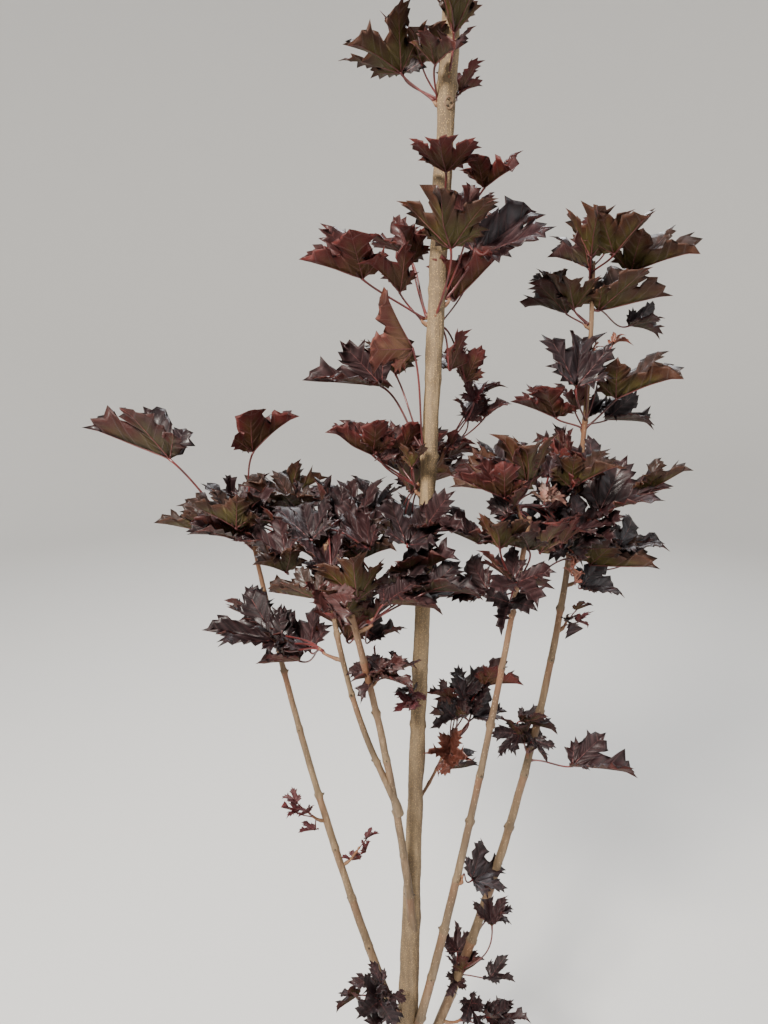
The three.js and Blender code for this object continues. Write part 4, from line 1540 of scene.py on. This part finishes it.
        dict(foot=(488, 591), tip=(442, 580), depth=-0.05, length=0.085, tint="plum", lean=25,
             away=True, habit="open"),
        dict(foot=(572, 560), tip=(566, 550), depth=0.00, length=0.020, tint="ember", habit="shrunk"),
        dict(foot=(574, 566), tip=(580, 557), depth=-0.01, length=0.022, tint="ember", habit="shrunk"),
        dict(foot=(571, 574), tip=(565, 566), depth=-0.01, length=0.022, tint="ember", habit="shrunk"),
        dict(foot=(575, 582), tip=(574, 570), depth=-0.02, length=0.024, tint="ember", habit="shrunk"),
    ),
    "right_low_tip": (
        dict(foot=(590, 565), tip=(663, 568), depth=0.06, length=0.115, tint="bronze", habit="cupped"),
        dict(foot=(581, 588), tip=(622, 582), depth=0.04, length=0.075, tint="night", lean=20,
             away=True, habit="open"),
    ),
    "right_bud": (
        dict(foot=(566, 621), tip=(575, 628), depth=0.04, length=0.028, tint="plum", lean=20,
             habit="shrunk"),
        dict(foot=(578, 622), tip=(590, 625), depth=0.04, length=0.030, tint="fresh", lean=20,
             habit="shrunk"),
    ),
    "between": (
        # the two rust leaves carry a painted glow of light shining through them
        dict(foot=(448, 754), tip=(427, 752), depth=0.02, length=0.064, tint="rust", lean=48, habit="open"),
        dict(foot=(452, 755), tip=(474, 761), depth=0.02, length=0.080, tint="rust", lean=55, habit="open"),
        dict(foot=(484, 686), tip=(528, 678), depth=0.06, length=0.076, tint="wine"),
        dict(foot=(466, 718), tip=(430, 712), depth=0.03, length=0.072, tint="plum", lean=14, away=True),
        dict(foot=(473, 718), tip=(503, 712), depth=0.05, length=0.070, tint="night", lean=16, away=True),
        dict(foot=(471, 714), tip=(480, 672), depth=0.05, length=0.085, tint="night", lean=20, away=True),
        dict(foot=(448, 699), tip=(429, 690), depth=0.04, length=0.045, tint="wine"),
        dict(foot=(455, 718), tip=(433, 727), depth=0.02, length=0.060, tint="night", lean=20),
    ),
    "low_spur": (
        dict(foot=(472, 880), tip=(506, 862), depth=0.02, length=0.086, tint="night", lean=42,
             away=True, habit="upright"),
    ),
    "foot_left": (
        dict(foot=(379, 1001), tip=(352, 1024), depth=-0.06, length=0.090, tint="night",
             lean=35, habit="open"),
    ),
    "foot_back": (
        dict(foot=(492, 926), tip=(488, 899), depth=-0.03, length=0.070, tint="plum", lean=30, away=True),
    ),
    "spur_tip": (
        dict(foot=(572, 766), tip=(638, 770), depth=0.05, length=0.112, tint="plum", lean=14,
             away=True, habit="cupped"),
    ),
}

sprayRule = {
    "tries": 1500,  # random points thrown into a mass's box
    "core": 0.45,  # share of the deepest points that blades are centred on
    "stretch": (1, 1, 1.3),  # blades count as further apart above one another
    "sizes": 0.86,
    "reach": (0.44, 0.44, 0.26),  # how far a blade reaches from its middle, in lengths
    "leastRoom": 0.006,
    "backOff": 0.45,  # from a blade's middle back to its stalk, in lengths
    "heartRise": 26,  # how much steeper the blades stand in the middle of a spray than told, in degrees
    "rimFall": 14,  # and how much flatter round its rim
    "turnJitter": 16,
    "riseJitter": 12,
    "roll": 16,
    "sizeJitter": 0.13,
}
seenRule = {
    "size": 0.95,  # a blade's middle vein, of the way to its tip's place
    "steps": 120,
    "roll": 0.3,  # share of the rule's
}
shootRule = {
    "rings": 24,
    "lift": (0, 0, 0.004),
    "start": 0.4,  # how far out it starts, in radii of the limb
    "stalksOut": 0.6,  # and the stalks where there is no twig
    "budOut": 0.8,
    "thickest": 0.8,
    "leave": (0.3, 0.3, 0.18),
    "arrive": (0.18, 0.18, 0.3),
    "endBud": 0.007,
    "sideBud": 0.0055,
    "lowest": 0.5,  # how far back along it the lowest leaf's stalk starts
    "stalkWay": (1, 1, 0.4),  # how level a stalk leaves
    "stalkRise": 0.4,
    "stalkIn": 0.02,  # how far it runs in under its blade, in lengths
}


def pointsInside(name, rng):
    # points inside a node's mesh, and how deep each lies
    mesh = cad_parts[name].data
    tree = BVHTree.FromPolygons([v.co for v in mesh.vertices], [p.vertices[:] for p in mesh.polygons])
    low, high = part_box(name)
    places, depths = [], []
    for _ in range(sprayRule["tries"]):
        point = Vector([rng.uniform(a, b) for a, b in zip(low, high)])
        nearest, normal, _, distance = tree.find_nearest(point)
        if (point - nearest).dot(normal) < 0:
            places.append(point[:])
            depths.append(distance)
    return np.array(places), np.array(depths)


def bladeCentres(name, count, size, rng):
    # the blades' centres: spread as far apart as the core of the mass and the size of a blade let them
    places, depths = pointsInside(name, rng)
    heart = places.mean(axis=0)
    if count < 2:
        return heart, [heart] * count
    low, high = places.min(axis=0), places.max(axis=0)
    room = np.maximum(0.5 * (high - low) - size * np.array(sprayRule["reach"]), sprayRule["leastRoom"])
    core = places[depths >= np.quantile(depths, 1 - sprayRule["core"])]
    chosen = [core[np.argmax(np.linalg.norm(core - heart, axis=1))]]
    while len(chosen) < count:
        gaps = np.min([np.linalg.norm((core - c) * sprayRule["stretch"], axis=1) for c in chosen], axis=0)
        chosen.append(core[np.argmax(gaps)])
    middle = 0.5 * (low + high)
    chosen = [middle + np.clip(centre - middle, -room, room) for centre in chosen]
    return heart, sorted(chosen, key=lambda c: -c[2])


def placeSeen(leaf):
    # a blade's foot, way and normal: its tip goes as deep as its length takes it
    foot = seenAt(leaf["foot"], leaf["depth"])
    way = 1 if leaf.get("away") else -1
    steps = np.linspace(0, leaf["length"], seenRule["steps"])
    tips = [seenAt(leaf["tip"], leaf["depth"] + way * step) for step in steps]
    tip = min(tips, key=lambda place: abs(np.linalg.norm(place - foot) - leaf["length"]))
    lean = math.radians(leaf.get("lean", 0))
    normal = np.array(leaf.get("normal", (0, -math.sin(lean), math.cos(lean))))
    size = seenRule["size"] * leaf["length"]
    return foot, unit(tip - foot), normal, size, leaf["tint"], leaf.get("habit", usualSpray["habit"])


def growShoot(spec, heart, wood, rng):
    # the twig that carries a spray, or only a bud where the leaves sit on the limb itself
    limb = limbs[spec["limb"]]
    foot = placeOn(limb, spec["at"])
    thick = radiusOn(limb, spec["at"])
    reach = heart - foot
    outward = unit(reach * noHeight)
    if spec["wood"] == 0:
        addBud(wood, foot + shootRule["budOut"] * thick * outward, outward + up, shootRule["sideBud"])
        return np.array([foot + shootRule["stalksOut"] * thick * outward] * 2)
    top = foot + spec["wood"] * reach + shootRule["lift"]
    start = foot + shootRule["start"] * thick * outward
    leave, arrive = reach * shootRule["leave"], (top - foot) * shootRule["arrive"]
    path = curvedPath(start, leave, arrive, top, shootRule["rings"])
    addTwig(wood, path, min(twigSettings["foot"], shootRule["thickest"] * thick), rng)
    addBud(wood, path[-1], path[-1] - path[-3], shootRule["endBud"])
    return path


def ruleBlades(spec, usual, heart, centres, end, rng):
    # blades that point away from the shoot's end, steep in the spray's middle and flatter round its rim
    widest = max((float(np.linalg.norm((centre - heart)[:2])) for centre in centres), default=0)
    blades = []
    for centre in centres:
        spread = (centre - heart) * noHeight
        outness = min(float(np.linalg.norm(spread)) / max(widest, 1e-6), 1.0)
        heading = math.atan2(*(centre - end)[1::-1]) + math.radians(rng.gauss(0, sprayRule["turnJitter"]))
        steeper = sprayRule["heartRise"] * (1 - outness) - sprayRule["rimFall"] * outness
        rise = math.radians(spec["rise"] + steeper + rng.gauss(0, sprayRule["riseJitter"]))
        direction = np.array((
            math.cos(rise) * math.cos(heading), math.cos(rise) * math.sin(heading), math.sin(rise)
        ))
        size = usual * (1 + rng.uniform(-1, 1) * sprayRule["sizeJitter"])
        base = centre - sprayRule["backOff"] * size * direction
        blades.append((base, direction, up, size, rng.choice(spec["tints"].split()), spec["habit"]))
    return blades


def growSpray(name, spec, wood, stalks):
    spec = {**usualSpray, **spec}
    rng = random.Random("spray " + name)
    usual = sprayRule["sizes"] * spec["size"]
    heart, centres = bladeCentres("foliage_" + name, spec["leaves"], usual, rng)
    path = growShoot(spec, heart, wood, rng)
    blades = [placeSeen(leaf) for leaf in seenLeaves.get(name, ())]
    blades += ruleBlades(spec, usual, heart, centres, path[-1], rng)
    blades.sort(key=lambda row: -row[0][2])  # from the top down, as their stalks leave the shoot
    part = newPart()
    for number, (base, direction, normal, size, tint, habit) in enumerate(blades):
        rolled = 1.0 if normal is up else seenRule["roll"]
        roll = math.radians(rng.gauss(0, sprayRule["roll"]) * rolled)
        level = unit(np.cross(direction, normal))
        normal = math.cos(roll) * np.cross(level, direction) + math.sin(roll) * level
        addLeaf(part, base, direction, normal, size, habit, tint, rng)
        share = 1 - shootRule["lowest"] * number / max(len(blades) - 1, 1)
        node = path[int(share * (len(path) - 1))]
        away = unit((base - node) * shootRule["stalkWay"] + 1e-6)
        lift, end = shootRule["stalkRise"] * up, base + shootRule["stalkIn"] * size * direction
        addStalk(stalks, node, away + lift, end, direction + lift, size)
    finishPart("leaves_" + name, part, leafMaterials, ["foliage_" + name], maps=("veins", "flat"))
    return len(blades), len(part["faces"])


setCamera()
makeStudio()
print("studio ready")
wood, stalks = newPart(), newPart()
barkFaces = sum(growBark(name, wood) for name in limbs)
print("bark grown, faces:", barkFaces)
grown = [growSpray(name, spec, wood, stalks) for name, spec in sprays.items()]
addScar(wood)
finishPart("twigs", wood, [youngBarkMaterial, scarMaterial], [], flush=True)
finishPart("leaf_stalks", stalks, [stalkMaterial], [])
print("leaves grown:", sum(count for count, _ in grown), "faces:", sum(faces for _, faces in grown))
